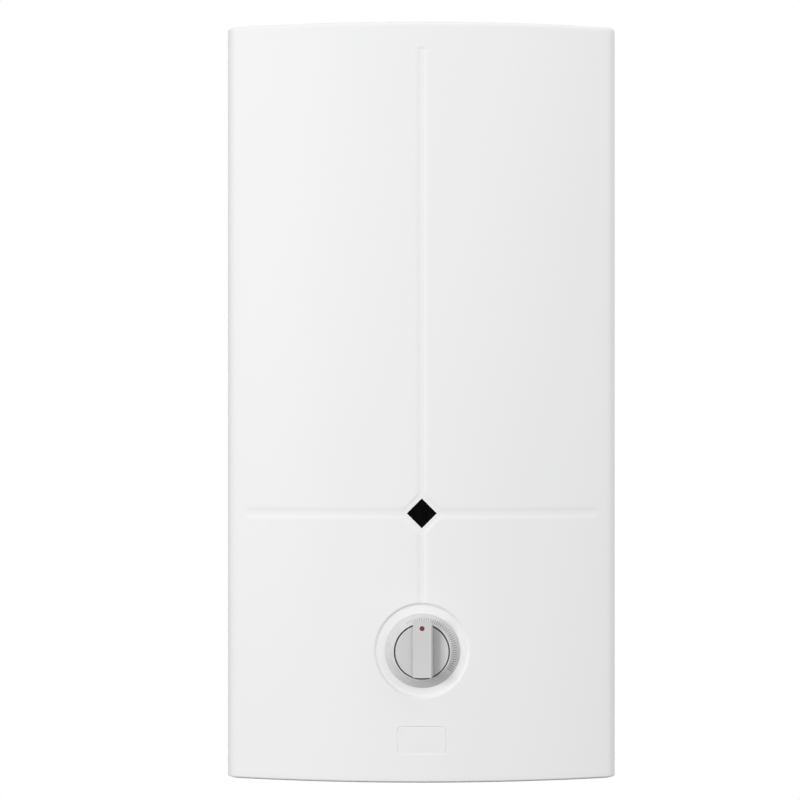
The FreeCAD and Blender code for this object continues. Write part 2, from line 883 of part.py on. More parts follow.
def slot_outline(sketch, across, along, straight, radius):
    """Level slot with round ends: half of its straight length each side of the middle."""
    first = sketch.GeometryCount
    left = number(f"{across} - {straight}")
    right = number(f"{across} + {straight}")
    level = number(along)
    reach = number(radius)
    up = Vector(0, 0, 1)
    sketch.addGeometry(
        Part.LineSegment(Vector(left, level - reach, 0), Vector(right, level - reach, 0)), False)
    right_end = Part.Circle(Vector(right, level, 0), up, reach)
    sketch.addGeometry(Part.ArcOfCircle(right_end, -math.pi / 2, math.pi / 2), False)
    sketch.addGeometry(
        Part.LineSegment(Vector(right, level + reach, 0), Vector(left, level + reach, 0)), False)
    left_end = Part.Circle(Vector(left, level, 0), up, reach)
    sketch.addGeometry(Part.ArcOfCircle(left_end, math.pi / 2, 3 * math.pi / 2), False)
    for step in range(4):
        sketch.addConstraint(
            Sketcher.Constraint("Coincident", first + step, 2, first + (step + 1) % 4, 1))
    pin_point(sketch, first, 1, f"{across} - {straight}", f"{along} - {radius}")
    pin_point(sketch, first, 2, f"{across} + {straight}", f"{along} - {radius}")
    pin_point(sketch, first + 2, 1, f"{across} + {straight}", f"{along} + {radius}")
    pin_point(sketch, first + 2, 2, f"{across} - {straight}", f"{along} + {radius}")
    for end, expression in ((first + 1, f"{across} + {straight}"), (first + 3, f"{across} - {straight}")):
        at = sketch.addConstraint(
            Sketcher.Constraint("DistanceX", -1, 1, end, 3, number(expression)))
        bind(sketch, f"Constraints[{at}]", expression)


def pan_screw(label, x, depth, height, turn, radius, length, head_radius, head_height):
    """Pan-head screw whose head rests on the given place and whose shank runs along the turn."""
    return turned(label, x, depth, height, turn, [
        ("0", "-" + head_height), (f"{head_radius} - 0.6", "-" + head_height),
        (head_radius, f"-{head_height} + 0.6"), (head_radius, "0"),
        (radius, "0"), (radius, f"{length} - 0.6"), (f"{radius} - 0.6", length), ("0", length),
    ])


def cover_screws():
    """Screws through the sides of the cover into the flanges of the plate."""
    screws = [
        pan_screw("cover_screw_right", "half_width", "screw_depth", "screw_height", "left",
                  "screw_radius", "screw_length", "screw_head_radius", "screw_head_height"),
        pan_screw("cover_screw_left", "-half_width", "screw_depth", "screw_height", "right",
                  "screw_radius", "screw_length", "screw_head_radius", "screw_head_height"),
    ]
    return group("cover_screws", *screws)


def badge_plate():
    """Bare badge plate with rounded corners, in its pocket on the crown of the cover."""
    body = new_body("badge_plate", "0", "front_depth - badge_pocket", "badge_height", "front")
    face = new_sketch(body, "XY")
    rectangle(face, "-badge_width / 2", "-badge_tall / 2", "badge_width / 2", "badge_tall / 2")
    plate = pad(body, face, "badge_thick")
    doc.recompute()
    upright = edges_where(plate.Shape, lambda edge: abs(edge.tangentAt(0).z) > 0.9)
    fillet(body, plate, upright, "badge_corner")
    return body


def window_parts():
    """Dark glass behind the sight hole, held by a clip frame."""
    seat = "front_depth - sight_frame_depth - cover_sheet - fit_gap"
    glass = new_body("window_glass", "0", f"{seat} - sight_glass", "sight_height", "front")
    pane = new_sketch(glass, "XY")
    diamond(pane, "0", "0", "(sight_half + 3)")
    pad(glass, pane, "sight_glass")
    frame = new_body(
        "window_frame", "0", f"{seat} - sight_glass - bracket_sheet", "sight_height", "front")
    back = new_sketch(frame, "XY")
    diamond(back, "0", "0", "(sight_half + 5)")
    diamond(back, "0", "0", "sight_half - 1")
    pad(frame, back, "bracket_sheet")
    rim = new_sketch(frame, "XY")
    diamond(rim, "0", "0", "(sight_half + 5)")
    diamond(rim, "0", "0", "(sight_half + 3 + fit_gap)")
    pad(frame, rim, "bracket_sheet + sight_glass")
    return glass, frame


# Knob, dial ring and spindle

def dial_ring():
    """Conical bezel that stands on the dish."""
    wall = "ring_wall"
    ring = turned("dial_ring", "0", "dish_face", "knob_height", "front", [
        ("ring_outer", "0"), ("ring_outer", "ring_rim"), ("ring_inner + 0.8", "ring_height"),
        ("ring_inner", "ring_height"), ("ring_inner", "0"), (f"ring_inner + {wall}", "0"),
        (f"ring_inner + {wall}", "ring_height - 2 * ring_wall"),
        (f"ring_outer - {wall}", "ring_rim - 0.5"), (f"ring_outer - {wall}", "0"),
    ])
    return ring


def d_section(sketch, radius, flat):
    """Round section with one flat."""
    reach = number(radius)
    side = number(flat)
    angle = math.acos(side / reach)
    edge = math.sqrt(reach ** 2 - side ** 2)
    middle = Part.Circle(Vector(0, 0, 0), Vector(0, 0, 1), reach)
    arc = sketch.addGeometry(Part.ArcOfCircle(middle, angle, 2 * math.pi - angle), False)
    line = sketch.addGeometry(
        Part.LineSegment(Vector(side, -edge, 0), Vector(side, edge, 0)), False)
    sketch.addConstraint(Sketcher.Constraint("Coincident", arc, 3, -1, 1))
    sketch.addConstraint(Sketcher.Constraint("Coincident", arc, 2, line, 1))
    sketch.addConstraint(Sketcher.Constraint("Coincident", line, 2, arc, 1))
    sketch.addConstraint(Sketcher.Constraint("Vertical", line))
    at = sketch.addConstraint(Sketcher.Constraint("Radius", arc, reach))
    bind(sketch, f"Constraints[{at}]", radius)
    at = sketch.addConstraint(Sketcher.Constraint("DistanceX", -1, 1, line, 1, side))
    bind(sketch, f"Constraints[{at}]", flat)
    return sketch


def ridge_section(body, base, foot, up, down):
    """Length of the ridge, bevelled on its left edge and drafted on its right flank."""
    half = "ridge_width / 2"
    crown = "knob_top - knob_back"
    section = new_sketch(body, "XZ", f"-({up})")
    outline(section, [
        ("-" + half, base), (f"{half} + {foot}", base), (half, crown),
        (f"ridge_chamfer - {half}", crown), ("-" + half, f"{crown} - ridge_chamfer"),
    ])
    return pad(body, section, f"{up} + {down}")


def knob():
    """Round knob with a raised pointer ridge, whose upper end reaches over the dial ring."""
    body = new_body("knob", "0", "knob_back", "knob_height", "front")
    disc = new_sketch(body, "XY")
    circle(disc, "0", "0", "knob_radius")
    pad(body, disc, "knob_disc")
    ridge_section(body, "knob_disc", "ridge_foot", "knob_radius - ridge_inset", "ridge_down")
    foot = "ridge_foot * (knob_top - beak_back) / ridge_height"
    ridge_section(body, "(beak_back - knob_back)", foot, "ridge_up", "0")
    hub = new_sketch(body, "XY")
    circle(hub, "0", "0", "knob_hub_radius")
    pad(body, hub, "knob_back - push_disc_front - fit_gap", reverse=True)
    bore = new_sketch(body, "XY", "push_disc_front - knob_back")
    d_section(bore, "spindle_radius + slide_gap / 2", "spindle_flat + slide_gap / 2")
    pocket(body, bore, "spindle_front - push_disc_front + fit_gap", reverse=True)
    mark = new_sketch(body, "XY", "knob_top - knob_back")
    circle(mark, "0", "dot_height", "dot_radius")
    pocket(body, mark, "dot_thick")
    return body


def knob_dot():
    """Red mark let into the top of the ridge."""
    return turned("knob_dot", "0", "knob_top - dot_thick", "knob_height + dot_height", "front", [
        ("0", "0"), ("dot_radius", "0"), ("dot_radius", "dot_thick"), ("0", "dot_thick"),
    ])


def spindle():
    """D-shaped spindle from the plug to the knob."""
    body = new_body("spindle", "0", "plug_rear", "knob_height", "front")
    section = new_sketch(body, "XY")
    d_section(section, "spindle_radius", "spindle_flat")
    pad(body, section, "spindle_front - plug_rear")
    return body


def push_disc():
    """Plate fixed on the spindle, pushed back by the return spring."""
    body = new_body("push_disc", "0", "push_disc_rear", "knob_height", "front")
    disc = new_sketch(body, "XY")
    circle(disc, "0", "0", "push_disc_radius")
    d_section_on(disc)
    pad(body, disc, "push_disc_thick")
    return body


def d_section_on(sketch):
    """Hole for the spindle in a plate that it carries."""
    return d_section(sketch, "spindle_radius + slide_gap / 2", "spindle_flat + slide_gap / 2")


def return_spring():
    """Spring between the valve's lid and the push plate."""
    return spring("return_spring", "0", "lid_front + fit_gap", "knob_height", "front",
                  "return_spring_radius", "return_wire", "return_turns",
                  "push_disc_rear - lid_front - 2 * fit_gap")


# Gas valve

def gas_valve_body():
    """Valve casting with the plug bore, the safety valve's bore and the side gas chamber."""
    wide = "valve_left + valve_right"
    block = box("valve_block", "-valve_left", "valve_rear", "valve_bottom", wide,
                "valve_front - valve_rear", "valve_top - valve_bottom")
    plug_bore = doc.addObject("Part::Cone", "plug_bore")
    bind(plug_bore, "Radius1", "plug_rear_radius + plug_bore_gap")
    bind(plug_bore, "Radius2", "plug_front_radius + plug_bore_gap")
    bind(plug_bore, "Height", "valve_front - plug_rear")
    stand(plug_bore, "0", "plug_rear", "knob_height", "front")
    stem_bore = rod("stem_bore", "0", "valve_rear - 1", "knob_height", "front",
                    "stem_bore_radius", "plug_rear - valve_rear + 1.5")
    chamber = rod("gas_chamber", "gas_chamber_end", "rod_depth", "knob_height", "right",
                  "gas_chamber_radius", "gas_chamber_length + 1")
    inlet = rod("gas_way_in", "0", "gas_in_depth", "valve_bottom - 1", "up",
                "union_bore", "valve_down - stem_bore_radius + 4")
    outlet = rod("gas_way_out", "gas_out_x", "manifold_depth", "knob_height", "up",
                 "gas_out_radius", "valve_up + 1")
    holes = [
        rod(f"lid_thread_{index}", x, "valve_front + 1", height, "back",
            "lid_screw_radius + plug_bore_gap", "13")
        for index, (x, height) in enumerate(lid_screw_places())
    ]
    return cut("gas_valve_body", block, plug_bore, stem_bore, chamber, inlet, outlet, *holes)


def lid_screw_places():
    """Corners of the lid that take a screw."""
    left = "-valve_left + lid_screw_inset"
    right = "valve_right - lid_screw_inset"
    low = "valve_bottom + lid_screw_inset"
    high = "valve_top - lid_screw_inset"
    return [(left, low), (right, low), (right, high), (left, high)]


def gas_valve_lid():
    """Front lid of the valve, with an ear that carries the igniter."""
    plate = box("lid_plate", "-lid_left", "valve_front", "valve_bottom",
                "lid_left + valve_right", "lid_thick", "valve_top - valve_bottom")
    spindle_hole = rod("lid_spindle_hole", "0", "valve_front - 1", "knob_height", "front",
                       "spindle_radius + slide_gap", "lid_thick + 2")
    igniter_hole = rod("lid_igniter_hole", "-igniter_x", "valve_front - 1", "knob_height",
                       "front", "igniter_radius + slide_gap", "lid_thick + 2")
    holes = [
        rod(f"lid_hole_{index}", x, "valve_front - 1", height, "front",
            "lid_screw_radius + slide_gap", "lid_thick + 2")
        for index, (x, height) in enumerate(lid_screw_places())
    ]
    return cut("gas_valve_lid", plate, spindle_hole, igniter_hole, *holes)


def valve_screws():
    """Screws of the lid."""
    screws = [
        pan_screw(f"valve_screw_{index}", x, "lid_front", height, "back",
                  "lid_screw_radius", "14", "lid_screw_head", "2")
        for index, (x, height) in enumerate(lid_screw_places())
    ]
    return group("valve_screws", *screws)


def gas_plug():
    """Tapered plug that the spindle turns and slides through."""
    cone = doc.addObject("Part::Cone", "plug_cone")
    slope = "(plug_front_radius - plug_rear_radius) / (valve_front - plug_rear)"
    bind(cone, "Radius1", f"plug_rear_radius + {slope} * 1")
    bind(cone, "Radius2", "plug_front_radius - " + slope)
    bind(cone, "Height", "plug_front - plug_rear - 1")
    stand(cone, "0", "plug_rear + 1", "knob_height", "front")
    bore = new_body("plug_way", "0", "plug_rear", "knob_height", "front")
    pad(bore, d_section_on(new_sketch(bore, "XY")), "valve_front - plug_rear")
    port = rod("plug_port", "-plug_front_radius - 1", "rod_depth + 6", "knob_height", "right",
               "3", "plug_front_radius - spindle_radius + 2")
    return cut("gas_plug", cone, bore, port)


def safety_valve():
    """Stem with its disc, spring and magnet of the flame failure valve."""
    stem = turned("safety_valve_stem", "0", "stem_front", "knob_height", "back", [
        ("0", "0"), ("stem_radius", "0"), ("stem_radius", "stem_front - valve_rear - 8"),
        ("stem_disc_radius", "stem_front - valve_rear - 8"),
        ("stem_disc_radius", "stem_front - valve_rear - 8 + stem_disc_thick"),
        ("0", "stem_front - valve_rear - 8 + stem_disc_thick"),
    ])
    magnet = turned("magnet_housing", "0", "magnet_front", "knob_height", "back", [
        ("0", "0"), ("stem_bore_radius + 1.5", "0"), ("stem_bore_radius + 1.5", "magnet_neck"),
        ("magnet_radius", "magnet_neck"), ("magnet_radius", "magnet_neck + magnet_length - 2"),
        ("magnet_radius - 2", "magnet_neck + magnet_length"), ("0", "magnet_neck + magnet_length"),
    ])
    coil = spring("safety_spring", "0", "magnet_front + fit_gap", "knob_height", "front",
                  "stem_disc_radius - 1", "safety_wire", "safety_turns",
                  "8 - stem_disc_thick - fit_gap")
    return stem, magnet, coil


def igniter():
    """Push igniter beside the valve, and its plunger."""
    body = turned("igniter_body", "-igniter_x", "igniter_rear", "knob_height", "front", [
        ("0", "0"), ("igniter_radius - 1.5", "0"), ("igniter_radius", "1.5"),
        ("igniter_radius", "lid_front - igniter_rear"),
        ("igniter_flange", "lid_front - igniter_rear"),
        ("igniter_flange", "lid_front - igniter_rear + 2"),
        ("plunger_radius + slide_gap", "lid_front - igniter_rear + 2"),
        ("plunger_radius + slide_gap", "lid_front - igniter_rear - 12"),
        ("0", "lid_front - igniter_rear - 12"),
    ])
    plunger = turned("igniter_plunger", "-igniter_x", "lid_front - 4", "knob_height", "front", [
        ("0", "0"), ("plunger_radius", "0"),
        ("plunger_radius", "push_disc_rear - fit_gap - lid_front + 3"),
        ("plunger_radius - 1", "push_disc_rear - fit_gap - lid_front + 4"),
        ("0", "push_disc_rear - fit_gap - lid_front + 4"),
    ])
    return body, plunger


def valve_bracket():
    """Bracket from the wall plate to the rear of the valve casting."""
    half = "(valve_left + 18)"
    foot = "valve_rear - plate_sheet - 2 * fit_gap"
    high = "30"
    web = box("bracket_web", "-" + half, "valve_rear - bracket_sheet - fit_gap",
              "knob_height - 15", "2 * " + half, "bracket_sheet", high)
    hole = rod("bracket_hole", "0", "valve_rear - 5", "knob_height", "front",
               "stem_bore_radius + 1.5 + slide_gap", "10")
    arms = []
    for side in (-1, 1):
        inner = f"{side} * {half}" if side < 0 else half + " - bracket_sheet"
        arms.append(box(f"bracket_arm_{side + 1}", inner, "plate_sheet + fit_gap",
                        "knob_height - 15", "bracket_sheet",
                        "valve_rear - plate_sheet - 2 * fit_gap", high))
        toe = f"-{half}" if side < 0 else half + " - 14"
        arms.append(box(f"bracket_toe_{side + 1}", toe, "plate_sheet + fit_gap",
                        "knob_height - 15", "14", "bracket_sheet", high))
    lead_hole = rod("bracket_lead_hole", "-igniter_x", "valve_rear - 5", "knob_height", "front",
                    "igniter_radius - 2", "10")
    return cut("valve_bracket", fuse("bracket_formed", web, *arms), hole, lead_hole)


# Water valve

def ring_of_screws():
    """Places of the water valve's screws, as pairs of depth and height."""
    spots = []
    for index in range(SIZES["water_screw_count"]):
        angle = math.radians(360 / SIZES["water_screw_count"] * index)
        spots.append((f"rod_depth + water_screw_circle * {math.cos(angle)}",
                      f"knob_height + water_screw_circle * {math.sin(angle)}"))
    return spots


def screw_ways(label, radius):
    """Straight bars where the water valve's screws pass."""
    return [
        rod(f"{label}_{index}", "water_left", depth, height, "right", radius,
            "water_right - water_left + 1")
        for index, (depth, height) in enumerate(ring_of_screws())
    ]


def water_valve_body():
    """Half of the water valve next to the gas valve, with the outlet boss on top."""
    gap = "rod_radius + plug_bore_gap"
    form = turned("water_body_form", "water_left", "rod_depth", "knob_height", "right", [
        (gap, "0"), ("water_neck_radius", "0"), ("water_neck_radius", "water_neck"),
        ("water_radius", "water_neck"), ("water_radius", "water_neck + water_body_length"),
        ("water_cavity", "water_neck + water_body_length"),
        ("water_cavity", "water_neck + water_body_length - water_cavity_length"),
        (gap, "water_neck + water_body_length - water_cavity_length"),
    ])
    boss = rod("water_body_boss", "water_out_x", "rod_depth", "knob_height + rod_radius + 2", "up",
               "coil_radius + 3", "water_boss_top - knob_height - rod_radius - 2")
    way = rod("water_body_way", "water_out_x", "rod_depth", "knob_height + rod_radius + 4", "up",
              "coil_radius - coil_wall", "water_radius")
    formed = fuse("water_body_formed", form, boss)
    return cut("water_valve_body", formed, way, *screw_ways("water_body_screw",
                                                            "water_screw_radius + slide_gap"))


def water_valve_cover():
    """Outer half of the water valve, with the inlet boss below."""
    form = turned("water_cover_form", "water_cover_left", "rod_depth", "knob_height", "right", [
        ("0", "water_cover_hollow"), ("water_cavity", "water_cover_hollow"),
        ("water_cavity", "0"), ("water_radius", "0"), ("water_radius", "water_flange"),
        ("water_screw_circle - water_screw_radius - 2", "water_flange"),
        ("water_neck_radius + 4", "water_flange + 6"),
        ("water_neck_radius + 4", "water_cover_length"), ("0", "water_cover_length"),
    ])
    boss = rod("water_cover_boss", "port_x", "rod_depth", "water_boss_bottom", "up",
               "union_pipe_radius + 2", "knob_height - water_boss_bottom - 6")
    way = rod("water_cover_way", "port_x", "rod_depth", "water_boss_bottom - 1", "up",
              "union_bore", "water_radius")
    formed = fuse("water_cover_formed", form, boss)
    cross_way = rod("water_cover_cross_way", "water_cover_left", "rod_depth", "knob_height",
                    "right", "union_bore - 1", "port_x - water_cover_left")
    drain = rod("water_cover_drain", "water_right + 1", "rod_depth", "knob_height", "left",
                "drain_radius + plug_bore_gap", "9")
    return cut("water_valve_cover", formed, way, cross_way, drain,
               *screw_ways("water_cover_screw", "water_screw_radius + slide_gap"))


def diaphragm():
    """Rubber disc clamped between the halves."""
    disc = turned("diaphragm_disc", "water_face", "rod_depth", "knob_height", "right", [
        ("0", "0"), ("water_radius", "0"), ("water_radius", "diaphragm_thick"),
        ("0", "diaphragm_thick"),
    ])
    return cut("diaphragm", disc, *screw_ways("diaphragm_hole", "water_screw_radius + slide_gap"))


def water_screws():
    """Screws that clamp the water valve."""
    screws = [
        pan_screw(f"water_screw_{index}", "water_cover_left + water_flange", depth, height,
                  "left", "water_screw_radius",
                  "water_flange + diaphragm_thick + water_body_length - 3",
                  "water_screw_radius + 1.2", "2.5")
        for index, (depth, height) in enumerate(ring_of_screws())
    ]
    return group("water_screws", *screws)


def push_rod():
    """Rod with the diaphragm plate."""
    long = "rod_right - rod_left"
    return turned("push_rod", "rod_right", "rod_depth", "knob_height", "left", [
        ("0", "0"), ("rod_plate_radius", "0"), ("rod_plate_radius", "rod_plate_thick"),
        ("rod_radius", "rod_plate_thick"), ("rod_radius", long), ("0", long),
    ])


def main_gas_disc():
    """Gas disc carried on the end of the rod."""
    return turned("main_gas_disc", "gas_disc_left", "rod_depth", "knob_height", "right", [
        ("0", "0"), ("gas_disc_radius", "0"), ("gas_disc_radius", "gas_disc_thick"),
        ("0", "gas_disc_thick"),
    ])


def gas_disc_spring():
    """Spring that closes the gas disc."""
    return spring("gas_disc_spring", "gas_chamber_end + fit_gap", "rod_depth", "knob_height",
                  "right", "gas_disc_radius - 2", "gas_wire", "gas_turns",
                  "gas_disc_left - gas_chamber_end - 2 * fit_gap")


def drain_plug():
    """Knurled drain plug in the water valve's outer half."""
    return turned("drain_plug", "water_right", "rod_depth", "knob_height", "right", [
        ("0", "-7"), ("drain_radius", "-7"), ("drain_radius", "0"), ("drain_radius + 3", "0"),
        ("drain_radius + 3", "5"), ("0", "5"),
    ])


# Connections below and water pipes

def union(label, x, depth, top):
    """Threaded union that opens downwards."""
    rise = f"({top} - union_bottom)"
    return turned(label, x, depth, "union_bottom", "up", [
        ("union_bore", "0"), ("union_thread_radius", "0"),
        ("union_thread_radius", "union_thread_length"),
        ("union_pipe_radius", "union_thread_length"), ("union_pipe_radius", rise),
        ("union_bore", rise),
    ])


def union_places():
    """Name, x, depth and upper end of each union."""
    return [
        ("cold_inlet", "port_x", "rod_depth", "water_boss_bottom"),
        ("hot_outlet", "-port_x", "hot_depth", "hot_union_top"),
        ("gas_inlet", "0", "gas_in_depth", "valve_bottom"),
    ]


def unions():
    """The three unions, and the nuts above their threads as one group."""
    made = []
    nuts = []
    for label, x, depth, top in union_places():
        made.append(union(label, x, depth, top))
        nut = new_body(label + "_nut", x, depth,
                       "union_bottom + union_thread_length + fit_gap", "up")
        face = hexagon(new_sketch(nut, "XY"), "union_nut_across")
        circle(face, "0", "0", "union_pipe_radius + slide_gap")
        pad(nut, face, "union_nut_height")
        nuts.append(nut)
    made.append(group("union_nuts", *nuts))
    return made


def cold_pipe():
    """Pipe from the water valve up to the coil."""
    return bent_tube("cold_pipe", [
        ("water_out_x", "rod_depth", "water_boss_top"),
        ("water_out_x", "rod_depth", "cold_run_height"),
        ("coil_side", "rod_depth", "cold_run_height"),
        ("coil_side", "rod_depth", "coil_foot"),
    ], ["pipe_bend", "pipe_bend"], "coil_radius", "coil_wall")


def water_coil():
    """Pipe wound round the combustion chamber, up to the first fin tube."""
    near = "coil_side"
    far = "-coil_side"
    wide = "coil_bend"
    tight = "pipe_bend"
    return bent_tube("water_coil", [
        (near, "rod_depth", "coil_foot"),
        (near, "rod_depth", "coil_low"),
        (near, "coil_rear", "coil_low + 0.5 * coil_rise"),
        (far, "coil_rear", "coil_low + 1.3 * coil_rise"),
        (far, "coil_front", "coil_low + 1.8 * coil_rise"),
        (near, "coil_front", "coil_low + 2.6 * coil_rise"),
        (near, "coil_rear", "coil_low + 3.1 * coil_rise"),
        (far, "coil_rear", "coil_low + 3.9 * coil_rise"),
        (far, "tube_first", "coil_low + 4.1 * coil_rise"),
        ("-riser_x", "tube_first", "coil_low + coil_turn_shares * coil_rise"),
        ("-riser_x", "tube_first", "tube_height"),
        ("-tube_end", "tube_first", "tube_height"),
    ], [wide, wide, wide, wide, wide, wide, wide, tight, tight, tight],
        "coil_radius", "coil_wall")


def hot_pipe():
    """Pipe from the last fin tube down to the hot outlet."""
    return bent_tube("hot_pipe", [
        ("-tube_end", "hot_depth", "tube_height"),
        ("-riser_x", "hot_depth", "tube_height"),
        ("-riser_x", "hot_depth", "hot_run_height"),
        ("-port_x", "hot_depth", "hot_run_height"),
        ("-port_x", "hot_depth", "hot_union_top"),
    ], ["pipe_bend", "coil_bend", "coil_bend"], "coil_radius", "coil_wall")


# Heat exchanger

def chamber_shell():
    """Copper chamber, open above and below, with holes for the fin tubes."""
    body = new_body("chamber_shell")
    plan = new_sketch(body, "XY", "chamber_bottom")
    rectangle(plan, "-chamber_half", "-chamber_front", "chamber_half", "-chamber_rear")
    block = pad(body, plan, "chamber_height")
    doc.recompute()
    upright = edges_where(block.Shape, lambda edge: abs(edge.tangentAt(0).z) > 0.9)
    rounded = fillet(body, block, upright, "chamber_corner")
    doc.recompute()
    ends = faces_where(rounded.Shape, lambda face: abs(face.normalAt(0, 0).z) > 0.9)
    shell = body.newObject("PartDesign::Thickness", "chamber_skin")
    shell.Base = (rounded, ends)
    bind(shell, "Value", "chamber_sheet")
    shell.Join = 0
    shell.Reversed = True
    doc.recompute()
    holes = new_sketch(body, "YZ", "chamber_half + 1")
    for index in range(SIZES["tube_count"]):
        circle(holes, f"-(tube_first + {index} * tube_pitch)", "tube_height",
               "tube_radius + slide_gap")
    pocket(body, holes, "2 * chamber_half + 2")
    return body


def fin_tubes():
    """Straight water tubes through the fins."""
    tubes = []
    for index in range(SIZES["tube_count"]):
        depth = f"tube_first + {index} * tube_pitch"
        tubes.append(turned(f"fin_tube_{index}", "-tube_end", depth, "tube_height", "right", [
            ("tube_radius - tube_wall", "0"), ("tube_radius", "0"),
            ("tube_radius", "2 * tube_end"), ("tube_radius - tube_wall", "2 * tube_end"),
        ]))
    return group("fin_tubes", *tubes)


def return_bends():
    """Half-round bends that join the fin tubes in turn."""
    bends = []
    for index in range(SIZES["tube_count"] - 1):
        side = 1 if index % 2 == 0 else -1
        rings = []
        for name, radius in (("outer", "tube_radius"), ("inner", "tube_radius - tube_wall")):
            ring = doc.addObject("Part::Torus", f"return_{name}_{index}")
            bind(ring, "Radius1", "tube_pitch / 2")
            bind(ring, "Radius2", radius)
            ring.Angle3 = 180
            stand(ring, f"{side} * tube_end", f"tube_first + {index + 0.5} * tube_pitch",
                  "tube_height")
            ring.Placement.Rotation = FreeCAD.Rotation(Vector(0, 0, 1), -90 * side)
            rings.append(ring)
        bends.append(cut(f"return_bend_{index}", *rings))
    return group("return_bends", *bends)


def fin_stack():
    """Row of thin fins on the tubes."""
    body = new_body("fin_stack")
    first = "-fin_pitch * (fin_count - 1) / 2"
    fin = new_sketch(body, "YZ", first)
    rectangle(fin, "-(chamber_front - fin_edge)", "tube_height - fin_high / 2",
              "-(chamber_rear + fin_edge)", "tube_height + fin_high / 2")
    for index in range(SIZES["tube_count"]):
        circle(fin, f"-(tube_first + {index} * tube_pitch)", "tube_height",
               "tube_radius + plug_bore_gap")
    plate = pad(body, fin, "fin_thick")
    row_pattern(body, [plate], "X", "fin_pitch * (fin_count - 1)", "fin_count")
    return body


def wall_brackets(label, spots, far):
    """Open box brackets between the wall plate and what stands in front of it."""
    made = []
    for index, (x, height) in enumerate(spots):
        wide = "bracket_wide"
        outer = box(f"{label}_outer_{index}", f"{x} - {wide} / 2", "plate_sheet + fit_gap",
                    height, wide, f"{far} - plate_sheet - 2 * fit_gap", "bracket_high")
        inner = box(f"{label}_inner_{index}", f"{x} - {wide} / 2 + bracket_sheet",
                    "plate_sheet + fit_gap + bracket_sheet", f"{height} - 1",
                    f"{wide} - 2 * bracket_sheet",
                    f"{far} - plate_sheet - 2 * fit_gap - 2 * bracket_sheet", "bracket_high + 2")
        made.append(cut(f"{label}_{index}", outer, inner))
    return group(label, *made)


def overheat_thermostat():
    """Disc thermostat in front of the hot pipe."""
    return turned("overheat_thermostat", "-riser_x", "hot_depth + coil_radius + slide_gap",
                  "thermostat_height", "front", [
                      ("0", "0"), ("sensor_radius", "0"), ("sensor_radius", "5"),
                      ("sensor_radius - 3", "5"), ("sensor_radius - 3", "8"), ("0", "8"),
                  ])


# Flue

def hood_form(label, inset):
    """Skirt with a tapered top, drawn in by an inset."""
    half = number(f"hood_half - {inset}")
    rear = -number(f"hood_rear + {inset}")
    front = -number(f"hood_front - {inset}")
    shoulder = number("hood_bottom + hood_straight")
    low = number("hood_bottom") - (1 if inset != "0" else 0)
    top = number(f"hood_top - {inset}")
    reach = number(f"hood_top_half - {inset}")
    middle = -number("flue_depth")

    def ring(half_wide, back, face, level):
        return Part.makePolygon([
            Vector(-half_wide, face, level), Vector(half_wide, face, level),
            Vector(half_wide, back, level), Vector(-half_wide, back, level),
            Vector(-half_wide, face, level),
        ])

    skirt = Part.makeBox(2 * half, rear - front, shoulder - low, Vector(-half, front, low))
    taper = Part.makeLoft([
        ring(half, rear, front, shoulder),
        ring(reach, middle + reach, middle - reach, top),
    ], True, True)
    return skirt.fuse(taper)


def draught_hood():
    """Sheet hood over the chamber with draught openings in its sides."""
    outer = hood_form("outer", "0")
    inner = hood_form("inner", "hood_sheet")
    way = Part.makeCylinder(number("flue_radius"), number("2 * fit_reach"),
                            Vector(0, -number("flue_depth"), number("hood_top - fit_reach")))
    opening = Part.makeBox(
        number("2 * hood_half + 2"), number("draught_opening_long"), number("draught_opening_high"),
        Vector(-number("hood_half + 1"), -number("flue_depth + draught_opening_long / 2"),
               number("chamber_top + 4")))
    return shaped("draught_hood", outer.cut(inner).cut(way).cut(opening).removeSplitter())


def hood_baffle():
    """Roof-shaped deflector across the hood."""
    body = new_body("hood_baffle")
    edge = "(chamber_top + draught_opening_high + 6)"
    roof = new_sketch(body, "YZ", "-(chamber_half - fit_gap)")
    outline(roof, [
        ("-(flue_depth + baffle_half)", edge), ("-flue_depth", edge + " + baffle_rise"),
        ("-(flue_depth - baffle_half)", edge),
        ("-(flue_depth - baffle_half)", edge + " + baffle_sheet"),
        ("-flue_depth", edge + " + baffle_rise + baffle_sheet"),
        ("-(flue_depth + baffle_half)", edge + " + baffle_sheet"),
    ])
    pad(body, roof, "2 * (chamber_half - fit_gap)")
    return body


def flue_collar():
    """Socket for the flue pipe, on the hood."""
    return turned("flue_collar", "0", "flue_depth", "hood_top", "up", [
        ("flue_radius", "0"), ("flue_outer + flue_flange", "0"),
        ("flue_outer + flue_flange", "flue_wall"), ("flue_outer", "flue_wall"),
        ("flue_outer", "flue_top - hood_top - 6"),
        ("flue_outer + flue_bead", "flue_top - hood_top - 4"),
        ("flue_outer + flue_bead", "flue_top - hood_top - 3"),
        ("flue_outer", "flue_top - hood_top - 1"),
        ("flue_outer", "flue_top - hood_top"), ("flue_radius", "flue_top - hood_top"),
    ])


def flue_sensor():
    """Spill switch on the front of the hood."""
    return turned("flue_sensor", "sensor_x", "hood_front", "hood_bottom + hood_straight / 2",
                  "front", [
                      ("0", "0"), ("sensor_radius", "0"), ("sensor_radius", "4"),
                      ("sensor_radius - 3", "4"), ("sensor_radius - 3", "9"), ("0", "9"),
                  ])


# Burner

